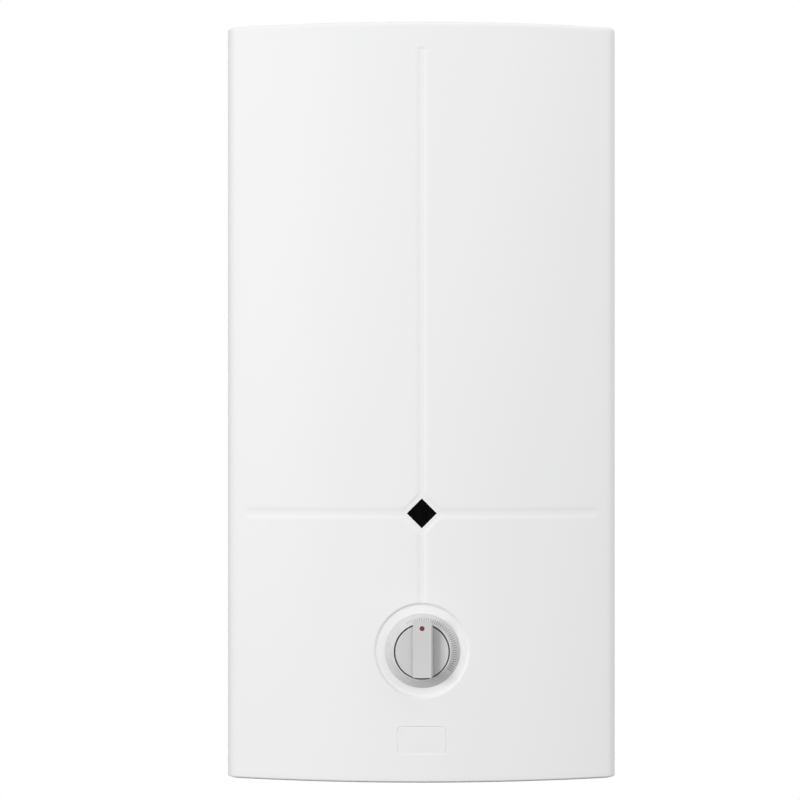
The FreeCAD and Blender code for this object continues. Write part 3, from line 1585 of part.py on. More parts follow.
def burner_blades():
    """Row of hollow burner blades with flame slots above and a mouth in front."""
    body = new_body("burner_blades")
    first = "blade_first - blade_thick / 2"
    form = new_sketch(body, "YZ", first)
    rectangle(form, "-blade_front", "blade_bottom", "-blade_rear", "blade_top")
    blade = pad(body, form, "blade_thick")
    hollow = new_sketch(body, "YZ", first + " + blade_thick - blade_wall")
    rectangle(hollow, "-(blade_front - blade_wall)", "blade_bottom + blade_wall",
              "-(blade_rear + blade_wall)", "blade_top - blade_wall")
    inside = pocket(body, hollow, "blade_thick - 2 * blade_wall")
    slots = new_sketch(body, "XY", "blade_top + 1")
    pitch = "(blade_front - blade_rear) / blade_slots"
    for index in range(SIZES["blade_slots"]):
        middle = f"-(blade_rear + {index + 0.5} * {pitch})"
        rectangle(slots, "blade_first - blade_thick / 2 + 1.5", f"{middle} - blade_slot_wide / 2",
                  "blade_first + blade_thick / 2 - 1.5", f"{middle} + blade_slot_wide / 2")
    flames = pocket(body, slots, "blade_wall + 2")
    mouth = new_sketch(body, "XZ", "blade_front + 1")
    circle(mouth, "blade_first", "manifold_height", "injector_radius + 0.6")
    way = pocket(body, mouth, "blade_wall + 2")
    row_pattern(body, [blade, inside, flames, way], "X", "blade_pitch * (blade_count - 1)",
                "blade_count")
    return body


def burner_frame():
    """Frame round the blades, hung from the chamber by its side plates."""
    wide = "2 * burner_frame_half"
    deep = "frame_front - frame_rear"
    sheet_thick = "burner_frame_sheet"
    outer = box("burner_frame_outer", "-burner_frame_half", "frame_rear", "blade_bottom",
                wide, deep, "burner_frame_high")
    inner = box("burner_frame_inner", f"-burner_frame_half + {sheet_thick}",
                f"frame_rear + {sheet_thick}", "blade_bottom - 1",
                f"{wide} - 2 * {sheet_thick}", f"{deep} - 2 * {sheet_thick}",
                "burner_frame_high + 2")
    sides = [
        box(f"burner_frame_side_{index}", x, "frame_rear", "blade_bottom", sheet_thick, deep,
            "chamber_bottom - blade_bottom - fit_gap")
        for index, x in enumerate(("-burner_frame_half", f"burner_frame_half - {sheet_thick}"))
    ]
    rails = cut("burner_frame_rails", outer, inner)
    mouths = [
        rod(f"burner_frame_mouth_{index}", blade_x(index), "frame_front + 1",
            "manifold_height", "back", "injector_radius + 0.6", "burner_frame_sheet + 2")
        for index in range(SIZES["blade_count"])
    ]
    return cut("burner_frame", fuse("burner_frame_form", rails, *sides), *mouths)


def blade_x(index):
    """Middle of a blade."""
    return f"blade_first + {index} * blade_pitch"


def gas_manifold():
    """Gas rail with a branch for each blade and a riser from the valve."""
    half = "(blade_pitch * blade_count / 2)"
    rail = rod("manifold_rail", "-" + half, "manifold_depth", "manifold_height", "right",
               "manifold_radius", "2 * " + half)
    rail_way = rod("manifold_rail_way", f"-{half} + manifold_wall", "manifold_depth",
                   "manifold_height", "right", "manifold_radius - manifold_wall",
                   f"2 * {half} - 2 * manifold_wall")
    branches = []
    ways = []
    for index in range(SIZES["blade_count"]):
        x = blade_x(index)
        branches.append(rod(f"manifold_branch_{index}", x, "manifold_depth", "manifold_height",
                            "back", "injector_radius + 1", "manifold_radius + 3"))
        ways.append(rod(f"manifold_way_{index}", x, "manifold_depth", "manifold_height",
                        "back", "injector_radius - 1", "manifold_radius + 4"))
    riser = rod("manifold_riser", "gas_out_x", "manifold_depth", "valve_top", "up",
                "gas_out_radius + 2", "manifold_height - valve_top")
    foot = rod("manifold_foot", "gas_out_x", "manifold_depth", "valve_top", "up",
               "gas_out_radius + 4.5", "3")
    riser_way = rod("manifold_riser_way", "gas_out_x", "manifold_depth", "valve_top - 1", "up",
                    "gas_out_radius", "manifold_height - valve_top + 1")
    form = fuse("manifold_form", rail, riser, foot, *branches)
    return cut("gas_manifold", form, rail_way, riser_way, *ways)


def injectors():
    """Gas jets on the branches."""
    jets = []
    for index in range(SIZES["blade_count"]):
        jets.append(turned(f"injector_{index}", blade_x(index),
                           "manifold_depth - manifold_radius - 3", "manifold_height", "back", [
                               ("0.4", "0"), ("injector_radius", "0"),
                               ("injector_radius", "injector_length - 2"),
                               ("injector_radius - 1", "injector_length"),
                               ("0.4", "injector_length"),
                           ]))
    return group("injectors", *jets)


def pilot_bracket():
    """Bracket on the burner frame that carries pilot, electrode and probe."""
    half = "(pilot_spacing + 8)"
    back = box("pilot_bracket_back", "-" + half, "frame_front + fit_gap",
               "manifold_height + 6", "2 * " + half, "bracket_sheet",
               "pilot_foot - manifold_height - 6")
    tab = box("pilot_bracket_tab", "-" + half, "frame_front + fit_gap", "pilot_tab",
              "2 * " + half, "10", "bracket_sheet")
    holes = [
        rod(f"pilot_bracket_hole_{index}", x, "pilot_depth", "pilot_tab - 1", "up", "2.2",
            "bracket_sheet + 2")
        for index, x in enumerate(("-pilot_spacing", "0", "pilot_spacing"))
    ]
    return cut("pilot_bracket", fuse("pilot_bracket_form", back, tab), *holes)


def pilot_parts():
    """Pilot burner, electrode with its wire, and thermocouple probe."""
    stub = "-bracket_sheet"
    pilot = turned("pilot_burner", "0", "pilot_depth", "pilot_foot", "up", [
        ("1", stub), ("2", stub), ("2", "0"), ("pilot_radius", "0"),
        ("pilot_radius", "pilot_high - 3"), ("pilot_radius - 1", "pilot_high"),
        ("1", "pilot_high"),
    ])
    electrode = turned("spark_electrode", "-pilot_spacing", "pilot_depth", "pilot_foot", "up", [
        ("0.8", stub), ("2", stub), ("2", "0"), ("3.2", "0"), ("3.2", "pilot_high - 6"),
        ("2.2", "pilot_high - 5"), ("0.8", "pilot_high - 5"),
    ])
    wire = turned("electrode_wire", "-pilot_spacing", "pilot_depth", "pilot_foot", "up", [
        ("0", stub), ("0.75", stub), ("0.75", "pilot_high"), ("0", "pilot_high"),
    ])
    probe = turned("thermocouple_probe", "pilot_spacing", "pilot_depth", "pilot_foot", "up", [
        ("0", stub), ("2", stub), ("2", "0"), ("3", "0"), ("3", "6"), ("2", "7"),
        ("2", "pilot_high - 1"), ("1", "pilot_high"), ("0", "pilot_high"),
    ])
    return pilot, electrode, wire, probe


def leads():
    """Small gas tube and leads from the pilot group to the valve, along their real routes."""
    below = "pilot_tab"
    bend_height = "pilot_tab - 6.5"
    pilot = bent_bar("pilot_tube", [
        ("0", "pilot_depth", below), ("0", "pilot_depth", bend_height),
        ("0", "lead_depth", "pilot_tab - 9"), ("-10", "lead_depth", "manifold_height - 14"),
        ("-10", "lead_depth", "valve_top"),
    ], ["lead_bend", "6", "20"], "pilot_tube_radius")
    probe = bent_bar("thermocouple_lead", [
        ("pilot_spacing", "pilot_depth", below), ("pilot_spacing", "pilot_depth", bend_height),
        ("14", "lead_depth", "pilot_tab - 10"), ("14", "lead_depth", "valve_top + 16"),
        ("14", "magnet_rear + 8", "valve_top + 11"), ("6", "magnet_rear - 20", "valve_top + 5"),
        ("0", "magnet_rear - 20", "knob_height"), ("0", "magnet_rear", "knob_height"),
    ], ["lead_bend", "6", "12", "10", "8", "8"], "lead_radius")
    spark = bent_bar("ignition_lead", [
        ("-pilot_spacing", "pilot_depth", below), ("-pilot_spacing", "pilot_depth", bend_height),
        ("-18", "lead_depth", "pilot_tab - 10"), ("-48", "lead_depth", "valve_top + 27"),
        ("-igniter_x", "igniter_rear - 28", "valve_top + 12"),
        ("-igniter_x", "igniter_rear - 28", "knob_height"),
        ("-igniter_x", "igniter_rear", "knob_height"),
    ], ["lead_bend", "6", "20", "12", "10"], "ignition_lead_radius")
    return pilot, probe, spark


# The parts of the object: each goes to a file with its own name

def build_parts():
    """Every piece, in the order in which the object would be put together."""
    brackets = [
        wall_brackets("chamber_brackets", [
            (x, height)
            for x in ("-bracket_x", "bracket_x")
            for height in ("chamber_bottom + 3", "chamber_top - bracket_high - 12")
        ], "chamber_rear"),
        wall_brackets("hood_brackets", [
            (x, "hood_bottom + hood_straight - bracket_high - 2")
            for x in ("-bracket_x", "bracket_x")
        ], "hood_rear"),
    ]
    return [
        back_plate(), *brackets, valve_bracket(),
        chamber_shell(), fin_stack(), fin_tubes(), return_bends(), water_coil(), cold_pipe(),
        hot_pipe(), overheat_thermostat(),
        draught_hood(), hood_baffle(), flue_collar(), flue_sensor(),
        burner_frame(), burner_blades(), gas_manifold(), injectors(), pilot_bracket(),
        *pilot_parts(), *leads(),
        gas_valve_body(), gas_plug(), gas_valve_lid(), valve_screws(), *safety_valve(),
        *igniter(),
        water_valve_body(), diaphragm(), push_rod(), main_gas_disc(), gas_disc_spring(),
        water_valve_cover(), water_screws(), drain_plug(), *unions(),
        spindle(), return_spring(), push_disc(),
        front_cover(), cover_screws(), *window_parts(), badge_plate(), dial_ring(), knob(),
        knob_dot(),
    ]


def check_parts(parts):
    """Stop before anything is written if an object has failed."""
    doc.recompute()
    for thing in doc.Objects:
        if "Invalid" in thing.State or "Error" in thing.State:
            raise RuntimeError(f"{thing.Name} failed: {thing.State}")
    for part in parts:
        if part.Shape.isNull() or not part.Shape.isValid():
            raise RuntimeError(f"{part.Label} has no valid shape")
        if not part.Shape.Solids:
            raise RuntimeError(f"{part.Label} has no solid")


parts = build_parts()
check_parts(parts)
os.makedirs("parts", exist_ok=True)
for part in parts:
    part.Shape.exportStep(f"parts/{part.Label}.step")
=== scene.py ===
import json
import math

import bmesh
import bpy
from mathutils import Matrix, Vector


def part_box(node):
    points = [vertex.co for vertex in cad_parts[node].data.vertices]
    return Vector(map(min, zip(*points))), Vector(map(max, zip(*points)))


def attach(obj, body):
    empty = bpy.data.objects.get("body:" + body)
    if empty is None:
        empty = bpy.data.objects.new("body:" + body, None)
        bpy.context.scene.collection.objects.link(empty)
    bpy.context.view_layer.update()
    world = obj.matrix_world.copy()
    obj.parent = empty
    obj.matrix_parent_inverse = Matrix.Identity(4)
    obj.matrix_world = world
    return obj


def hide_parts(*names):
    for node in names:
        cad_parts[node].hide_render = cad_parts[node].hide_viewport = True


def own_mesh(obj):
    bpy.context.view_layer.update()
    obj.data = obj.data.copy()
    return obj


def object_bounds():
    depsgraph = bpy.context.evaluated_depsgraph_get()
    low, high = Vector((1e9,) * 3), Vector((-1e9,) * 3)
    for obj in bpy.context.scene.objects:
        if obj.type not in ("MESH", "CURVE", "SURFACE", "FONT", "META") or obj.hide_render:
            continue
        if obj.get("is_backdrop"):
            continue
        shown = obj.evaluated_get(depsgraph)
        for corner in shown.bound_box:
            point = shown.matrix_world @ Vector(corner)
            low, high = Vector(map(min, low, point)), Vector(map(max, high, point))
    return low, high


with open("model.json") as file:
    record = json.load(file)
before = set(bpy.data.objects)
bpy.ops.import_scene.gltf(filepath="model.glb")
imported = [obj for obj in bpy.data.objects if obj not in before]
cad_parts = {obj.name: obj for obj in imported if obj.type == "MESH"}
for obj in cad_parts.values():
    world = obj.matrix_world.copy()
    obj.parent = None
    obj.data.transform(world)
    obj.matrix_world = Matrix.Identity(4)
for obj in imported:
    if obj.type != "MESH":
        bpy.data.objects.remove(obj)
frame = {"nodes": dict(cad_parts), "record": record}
nodes = frame["nodes"]


def plain(value):
    """Vectors and tuples as plain lists."""
    if isinstance(value, dict):
        return {key: plain(item) for key, item in value.items()}
    if isinstance(value, (str, bool, int, float)) or value is None:
        return value
    return [plain(item) for item in value]


start_size = plain(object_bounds())


# Sizes of the cover and the dial in metres: depths from the wall, heights from the hanging slots

HALF_WIDTH = 0.150
REAR = 0.002
FRONT_DEPTH = 0.220
BOW_RISE = 0.025
CORNER = 0.010
CORNER_STEPS = 9
EDGE = 0.003
EDGE_STEPS = 7
LOWER_EDGE = 0.0027
LOWER_INSET = 0.0045
LOWER_PROFILE = ((0.0, 1.0), (0.16, 0.66), (0.34, 0.34), (0.48, 0.12), (0.62, 0.04), (0.8, 0.01))
FLAT_MARGIN = 0.0004
SHEET = 0.001
LOW = -0.535
HIGH = 0.045
BOW_RADIUS = (HALF_WIDTH ** 2 + BOW_RISE ** 2) / (2 * BOW_RISE)
BOW_CENTRE = FRONT_DEPTH - BOW_RADIUS
KNOB_Z = -0.434
SIGHT_Z = -0.3295
SIGHT_HALF = 0.0114
FRAME_HALF = 0.0175
FRAME_DEPTH = 0.0006
FRAME_ROUND = 0.0008
FRAME_REACH = 0.006
DISH_RADIUS = 0.0362
DISH_FLOOR_RADIUS = 0.0352
DISH_DEPTH = 0.0024
DISH_REACH = 0.006
GROOVE_TOP = 0.025
GROOVE_HALF_WIDTH = 0.0035
GROOVE_FLOOR_HALF = 0.0017
GROOVE_DEPTH = 0.0006
LEVEL_GROOVE_DEPTH = 0.0004
LEVEL_HALF_LENGTH = 0.135
GROOVE_REACH = 0.007
GROOVE_END_RUN = 0.001
GROOVE_END_SLOPE = 0.8
RING_RADIUS = 0.0282
RING_LIP_RADIUS = 0.0219
RING_FOOT = 0.0015
# Dial scale: printed marks, also made long and wide towards the ring's right side as painted
# shade
MARK_COUNT = 39
MARK_START = math.radians(-28)
MARK_STEP = math.radians(4)
MARK_MARGIN = 0.0014
MARK_LENGTH = 0.0016
MARK_GROWTH = 0.0026
MARK_HALF_WIDTH = 0.00014
MARK_WIDENING = 0.00012
MARK_LIFT = 0.00004
BADGE_Z = -0.502
BADGE_POCKET = 0.0009
POCKET_HALF_WIDTH = 0.0186
POCKET_HALF_HEIGHT = 0.0102
POCKET_CORNER = 0.0033
POCKET_WALL = 0.001
POCKET_SLOPE = 3
PRESSING_BLUR = 0.00018
PRESSING_LIFT = 0.00002
FLUE_DEPTH = 0.098
NOTCH_HALF_WIDTH = 0.0655
NOTCH_STEPS = 40
FLANGE_WIDTH = 0.012
FLANGE_FRONT = 0.183
SLOT_COUNT = 4
SLOT_START = 0.092
SLOT_PITCH = 0.012
SLOT_WIDTH = 0.005
SLOT_REAR = 0.068
SLOT_FRONT = 0.128

# Grid of the cover: distances between its columns and between its rows, and where they change.
# Only faces in front of the window depth are cut by the sight window.

WINDOW_STEP = SIGHT_HALF / 12
WINDOW_COLUMNS = 17
WINDOW_ROWS = 22
WALL_STEP = 0.0003
DISH_COLUMN = 0.0009
DISH_COLUMNS_END = 0.046
DISH_ROWS_BELOW = 0.040
DISH_ROWS_ABOVE = 0.042
DISH_ROW = 0.0008
BADGE_ROW = 0.002
EDGE_ROW = 0.003
GROOVE_END_COLUMN = 0.0011
GROOVE_END_INNER = 0.005
GROOVE_END_OUTER = 0.003
GROOVE_TOP_OUTER = 0.006
POCKET_ROUND = 0.003
PLAIN_COLUMN = 0.004
PLAIN_ROW = 0.012
SIDE_COLUMN = 0.035
ONE_STEP = 1
WINDOW_DEPTH = 0.21
WINDOW_TOLERANCE = 0.00001
WINDOW_INSIDE = 0.00002

# Materials

FAINT_GRAIN = 0.00001
FINE_GRAIN = 0.00002
COARSE_GRAIN = 0.00004
# Reach of the painted shade that darkens crevices
PAINTED_SHADE_REACH = 0.005
METAL = 0.95


def bare_material(name):
    """New node material with its tree, its shader and object coordinates."""
    material = bpy.data.materials.new(name)
    material.use_nodes = True
    tree = material.node_tree
    shader = tree.nodes["Principled BSDF"]
    place = tree.nodes.new("ShaderNodeTexCoord").outputs["Object"]
    return material, tree, shader, place


def put(tree, value, socket):
    """Link an output to a socket, or set the socket's own value."""
    if isinstance(value, bpy.types.NodeSocket):
        tree.links.new(value, socket)
    else:
        socket.default_value = value


def mixed(tree, factor, base, over, way="MIX"):
    """Two colours mixed by a factor."""
    node = tree.nodes.new("ShaderNodeMix")
    node.data_type = "RGBA"
    node.blend_type = way
    put(tree, factor, node.inputs["Factor"])
    put(tree, base, node.inputs["A"])
    put(tree, over, node.inputs["B"])
    return node.outputs["Result"]


def reckoned(tree, operation, first, second):
    """Result of a sum, product or maximum of two values."""
    node = tree.nodes.new("ShaderNodeMath")
    node.operation = operation
    put(tree, first, node.inputs[0])
    put(tree, second, node.inputs[1])
    return node.outputs[0]


def noise(tree, place, scale, detail=4.0, rough=0.55, stretch=(1, 1, 1)):
    """Noise over the object's own coordinates, drawn out by a stretch."""
    if stretch != (1, 1, 1):
        mapping = tree.nodes.new("ShaderNodeMapping")
        mapping.inputs["Scale"].default_value = stretch
        tree.links.new(place, mapping.inputs["Vector"])
        place = mapping.outputs["Vector"]
    texture = tree.nodes.new("ShaderNodeTexNoise")
    texture.inputs["Scale"].default_value = scale
    texture.inputs["Detail"].default_value = detail
    texture.inputs["Roughness"].default_value = rough
    tree.links.new(place, texture.inputs["Vector"])
    return texture.outputs["Fac"]


def ramp(tree, value, stops):
    """Colour ramp through the given (position, colour) stops."""
    node = tree.nodes.new("ShaderNodeValToRGB")
    elements = node.color_ramp.elements
    while len(elements) < len(stops):
        elements.new(0.5)
    for element, (position, colour) in zip(elements, stops):
        element.position = position
        element.color = (*colour, 1)
    tree.links.new(value, node.inputs["Fac"])
    return node.outputs["Color"]


def spread(tree, value, low, high, start=0.3, end=0.7):
    """Value moved from one range to another."""
    node = tree.nodes.new("ShaderNodeMapRange")
    node.inputs["From Min"].default_value = start
    node.inputs["From Max"].default_value = end
    node.inputs["To Min"].default_value = low
    node.inputs["To Max"].default_value = high
    tree.links.new(value, node.inputs["Value"])
    return node.outputs["Result"]


def bump(tree, shader, height, strength, distance):
    """Small relief, laid over what the shader already has."""
    node = tree.nodes.new("ShaderNodeBump")
    node.inputs["Strength"].default_value = strength
    node.inputs["Distance"].default_value = distance
    if shader.inputs["Normal"].links:
        tree.links.new(shader.inputs["Normal"].links[0].from_socket, node.inputs["Normal"])
    tree.links.new(height, node.inputs["Height"])
    tree.links.new(node.outputs["Normal"], shader.inputs["Normal"])


def tint(colour, factor):
    """Colour made darker or lighter by a factor."""
    return tuple(min(1.0, channel * factor) for channel in colour)


def finish_of(name, colour, worn, rough, patches, grain, grain_depth=FAINT_GRAIN,
              metallic=0.0, stretch=(1, 1, 1), coat=0.0, painted_shade=0.0):
    """Material with patchy colour, worn spots, uneven gloss and a fine grain, with optional
    painted shade that darkens its crevices.
    """
    material, tree, shader, place = bare_material(name)
    broad = noise(tree, place, patches)
    colours = ramp(tree, broad, [
        (0.25, tint(colour, 0.94)), (0.5, colour), (0.72, tint(colour, 1.03))])
    spots = noise(tree, place, patches * 6, 6.0, 0.7, stretch)
    mask = spread(tree, spots, 0.0, 1.0, 0.6, 0.78)
    patched = mixed(tree, mask, colours, (*worn, 1))
    # Painted shade: darker colour where other surfaces stand close by
    if painted_shade:
        patched = painted_crevice_shade(tree, patched, PAINTED_SHADE_REACH, 1 - painted_shade)
    tree.links.new(patched, shader.inputs["Base Color"])
    gloss = noise(tree, place, patches * 3, 5.0, 0.6, stretch)
    tree.links.new(spread(tree, gloss, rough * 0.82, rough * 1.2), shader.inputs["Roughness"])
    shader.inputs["Metallic"].default_value = metallic
    shader.inputs["Specular IOR Level"].default_value = 0.5
    shader.inputs["Coat Weight"].default_value = coat
    shader.inputs["Coat Roughness"].default_value = 0.12
    fine = noise(tree, place, grain, 3.0, 0.5, stretch)
    bump(tree, shader, fine, 0.35, grain_depth)
    return material


def zinc_sheet():
    """Galvanised sheet with flake-shaped spangle."""
    material, tree, shader, place = bare_material("zinc_sheet")
    cells = tree.nodes.new("ShaderNodeTexVoronoi")
    cells.inputs["Scale"].default_value = 90
    tree.links.new(place, cells.inputs["Vector"])
    split = tree.nodes.new("ShaderNodeSeparateColor")
    tree.links.new(cells.outputs["Color"], split.inputs["Color"])
    flakes = ramp(tree, split.outputs["Red"], [
        (0.0, (0.50, 0.51, 0.52)), (0.5, (0.56, 0.57, 0.58)), (1.0, (0.63, 0.64, 0.65))])
    stains = noise(tree, place, 14, 5.0, 0.6)
    mask = spread(tree, stains, 0.0, 0.5, 0.52, 0.8)
    stained = mixed(tree, mask, flakes, (0.37, 0.37, 0.37, 1))
    tree.links.new(stained, shader.inputs["Base Color"])
    gloss = spread(tree, split.outputs["Green"], 0.32, 0.48, 0, 1)
    tree.links.new(gloss, shader.inputs["Roughness"])
    shader.inputs["Metallic"].default_value = 0.85
    bump(tree, shader, noise(tree, place, 600, 3.0), 0.3, FINE_GRAIN)
    return material


def painted_crevice_shade(tree, colour, reach, darkest):
    """Painted shade: colour darkened where other surfaces stand close by, in place of the shade
    that falls in crevices.
    """
    near = tree.nodes.new("ShaderNodeAmbientOcclusion")
    near.samples = 8
    near.inputs["Distance"].default_value = reach
    shade = spread(tree, near.outputs["AO"], darkest, 1.0, 0.25, 0.85)
    return mixed(tree, 1.0, colour, shade, "MULTIPLY")


def enamel():
    """White stoved enamel: almost even colour, faint orange peel, a little dust."""
    material, tree, shader, place = bare_material("enamel")
    broad = noise(tree, place, 3.0, 3.0)
    colours = ramp(tree, broad, [
        (0.3, (0.874, 0.876, 0.878)), (0.7, (0.892, 0.893, 0.894))])
    dust = noise(tree, place, 160, 6.0, 0.75)
    mask = spread(tree, dust, 0.0, 0.25, 0.66, 0.85)
    dusty = mixed(tree, mask, colours, (0.78, 0.775, 0.76, 1))
    tree.links.new(dusty, shader.inputs["Base Color"])
    gloss = spread(tree, noise(tree, place, 12, 4.0), 0.42, 0.5)
    tree.links.new(gloss, shader.inputs["Roughness"])
    shader.inputs["Specular IOR Level"].default_value = 0.15
    bump(tree, shader, noise(tree, place, 420, 2.0, 0.4), 0.12, FINE_GRAIN)
    return material


def oily_copper():
    """Copper with brown heat tint and a few green-grey spots."""
    material, tree, shader, place = bare_material("copper_tube")
    heat = noise(tree, place, 16, 5.0, 0.6)
    colours = ramp(tree, heat, [
        (0.25, (0.34, 0.17, 0.10)), (0.45, (0.62, 0.33, 0.20)),
        (0.6, (0.74, 0.42, 0.28)), (0.8, (0.80, 0.50, 0.34))])
    spots = noise(tree, place, 130, 6.0, 0.7)
    mask = spread(tree, spots, 0.0, 0.7, 0.62, 0.76)
    spotted = mixed(tree, mask, colours, (0.24, 0.27, 0.22, 1))
    tree.links.new(spotted, shader.inputs["Base Color"])
    tree.links.new(spread(tree, heat, 0.45, 0.24), shader.inputs["Roughness"])
    shader.inputs["Metallic"].default_value = METAL
    bump(tree, shader, noise(tree, place, 700, 3.0), 0.3, FINE_GRAIN)
    return material


def dark_glass():
    """Smoky heat-proof glass with a thin, uneven film of soot."""
    material, tree, shader, place = bare_material("smoked_glass")
    soot = noise(tree, place, 220, 5.0, 0.6)
    colours = ramp(tree, soot, [
        (0.35, (0.001, 0.001, 0.001)), (0.8, (0.004, 0.004, 0.004))])
    tree.links.new(colours, shader.inputs["Base Color"])
    tree.links.new(spread(tree, soot, 0.3, 0.5), shader.inputs["Roughness"])
    shader.inputs["Specular IOR Level"].default_value = 0.02
    bump(tree, shader, noise(tree, place, 300, 2.0), 0.1, FINE_GRAIN)
    return material


MATERIALS = {
    "white_enamel": enamel(),
    "zinc_plate": zinc_sheet(),
    "copper": oily_copper(),
    "dark_glass": dark_glass(),
    "brass": finish_of(
        "brass_casting", (0.70, 0.55, 0.27), (0.42, 0.31, 0.15), rough=0.34,
        patches=22.0, grain=800.0, grain_depth=0.00003, metallic=METAL),
    "steel": finish_of(
        "steel_bright", (0.56, 0.56, 0.57), (0.36, 0.34, 0.31), rough=0.3,
        patches=30.0, grain=900.0, metallic=METAL),
    "stainless": finish_of(
        "stainless_burner", (0.52, 0.50, 0.47), (0.30, 0.25, 0.22), rough=0.33,
        patches=18.0, grain=700.0, metallic=METAL, stretch=(1, 1, 6)),
    "valve_casting": finish_of(
        "die_casting", (0.58, 0.59, 0.60), (0.42, 0.42, 0.43), rough=0.46,
        patches=20.0, grain=900.0, grain_depth=0.00006, metallic=0.85),
    # The knob and ring plastics carry painted shade in their crevices
    "grey_plastic": finish_of(
        "knob_plastic", (0.64, 0.642, 0.645), (0.57, 0.57, 0.57), rough=0.42,
        patches=14.0, grain=1500.0, grain_depth=FINE_GRAIN, painted_shade=0.35),
    "light_grey_plastic": finish_of(
        "ring_plastic", (0.69, 0.692, 0.695), (0.54, 0.54, 0.54), rough=0.45,
        patches=14.0, grain=1500.0, grain_depth=FINE_GRAIN, painted_shade=0.3),
    "white_plastic": finish_of(
        "badge_plastic", (0.88, 0.882, 0.886), (0.80, 0.80, 0.80), rough=0.3,
        patches=10.0, grain=900.0),
    "black_plastic": finish_of(
        "black_moulding", (0.028, 0.028, 0.030), (0.06, 0.06, 0.06), rough=0.5,
        patches=24.0, grain=1200.0, grain_depth=COARSE_GRAIN),
    "red_mark": finish_of(
        "red_lacquer", (0.17, 0.005, 0.012), (0.13, 0.004, 0.01), rough=0.4,
        patches=40.0, grain=900.0),
    "white_ceramic": finish_of(
        "glazed_ceramic", (0.80, 0.78, 0.72), (0.60, 0.56, 0.48), rough=0.22,
        patches=30.0, grain=500.0, coat=0.4),
    "rubber": finish_of(
        "black_rubber", (0.025, 0.025, 0.026), (0.07, 0.07, 0.07), rough=0.65,
        patches=26.0, grain=900.0, grain_depth=COARSE_GRAIN),
}

slots = {part["node"]: part["material_slot"] for part in frame["record"]["subparts"]}


def dress(obj, slot):
    """Give a mesh its material."""
    obj.data.materials.clear()
    obj.data.materials.append(MATERIALS[slot])


# Frame pieces: material, merged corners, a fine edge break and smooth shading

WELD_REACH = 0.000005
SHARP_ANGLE = math.radians(28)
EDGE_BREAK = {
    "knob": 0.0007, "dial_ring": 0.0005, "badge_plate": 0.0004, "gas_valve_body": 0.0008,
    "gas_valve_lid": 0.0004, "water_valve_body": 0.0006, "water_valve_cover": 0.0006,
    "union_nuts": 0.0004, "cover_screws": 0.0003, "back_plate": 0.0002, "draught_hood": 0.0002,
    "flue_collar": 0.0003, "valve_bracket": 0.0003, "igniter_body": 0.0004,
    "overheat_thermostat": 0.0004, "flue_sensor": 0.0004, "drain_plug": 0.0003,
    "window_glass": 0.0003, "window_frame": 0.0003, "chamber_shell": 0.0002,
    "gas_manifold": 0.0004, "knob_dot": 0.0001,
}


def soften(obj, width):
    """Merge split corners, break the sharp edges and shade smoothly."""
    weld = obj.modifiers.new("weld", "WELD")
    weld.merge_threshold = WELD_REACH
    if width:
        edge = obj.modifiers.new("edge_break", "BEVEL")
        edge.width = width
        edge.segments = 3
        edge.limit_method = "ANGLE"
        edge.angle_limit = SHARP_ANGLE
        edge.use_clamp_overlap = True
        edge.harden_normals = False
        even = obj.modifiers.new("even_faces", "WEIGHTED_NORMAL")
        even.keep_sharp = True


for name, node in nodes.items():
    dress(node, slots[name])
    soften(node, EDGE_BREAK.get(name, 0.0))


# Cover: one pressed sheet

def soft_least(values, blur):
    """Lowest of the values, rounded where two of them meet."""
    low = min(values)
    weight = sum(math.exp(-(value - low) / blur) for value in values)
    return low - blur * math.log(weight)


def trough(offset, surface, sunk):
    """Depth of the surface in a groove at a distance from its middle line."""
    slope = sunk / (GROOVE_HALF_WIDTH - GROOVE_FLOOR_HALF)
    floor = surface - sunk
    return max(floor, floor + (abs(offset) - GROOVE_FLOOR_HALF) * slope)


def beside_pocket(x, z):
    """Distance outside the rounded outline of the badge's pocket, 0 inside it."""
    across = max(0.0, abs(x) - POCKET_HALF_WIDTH + POCKET_CORNER)
    up = max(0.0, abs(z - BADGE_Z) - POCKET_HALF_HEIGHT + POCKET_CORNER)
    return max(0.0, math.hypot(across, up) - POCKET_CORNER)


def past_end(value, end):
    """How far a groove's floor has risen where it runs out, towards its end."""
    return max(0.0, value - end + GROOVE_END_RUN) * GROOVE_END_SLOPE


def relief(x, z, bow):
    """Depth of the outer face from the wall at a place on the front."""
    forms = [bow]
    reach = math.hypot(x, z - KNOB_Z)
    if reach < DISH_RADIUS + DISH_REACH:
        slope = DISH_DEPTH / (DISH_RADIUS - DISH_FLOOR_RADIUS)
        forms.append(FRONT_DEPTH - DISH_DEPTH + max(0.0, reach - DISH_FLOOR_RADIUS) * slope)
    if abs(x) < GROOVE_REACH and KNOB_Z < z < GROOVE_TOP + GROOVE_REACH:
        forms.append(trough(x, FRONT_DEPTH, GROOVE_DEPTH) + past_end(z, GROOVE_TOP))
    if abs(z - SIGHT_Z) < GROOVE_REACH and abs(x) < LEVEL_HALF_LENGTH + GROOVE_REACH:
        forms.append(trough(z - SIGHT_Z, bow, LEVEL_GROOVE_DEPTH)
                     + past_end(abs(x), LEVEL_HALF_LENGTH))
    across = abs(x) + abs(z - SIGHT_Z)
    if across < FRAME_HALF + FRAME_REACH:
        forms.append(FRONT_DEPTH - FRAME_DEPTH + max(0.0, across - FRAME_HALF + FRAME_ROUND))
    outside = beside_pocket(x, z)
    if outside < POCKET_WALL:
        forms.append(FRONT_DEPTH - BADGE_POCKET + outside * POCKET_SLOPE)
    if len(forms) == 1:
        return bow
    return min(bow, soft_least(forms, PRESSING_BLUR) + PRESSING_LIFT)


def steps(stops):
    """Values from (start, step) pairs, each run ending where the next one starts."""
    values = []
    for (start, step), (end, _) in zip(stops, stops[1:]):
        count = max(1, round((end - start) / step))
        values += [start + (end - start) * index / count for index in range(count)]
    return values + [stops[-1][0]]


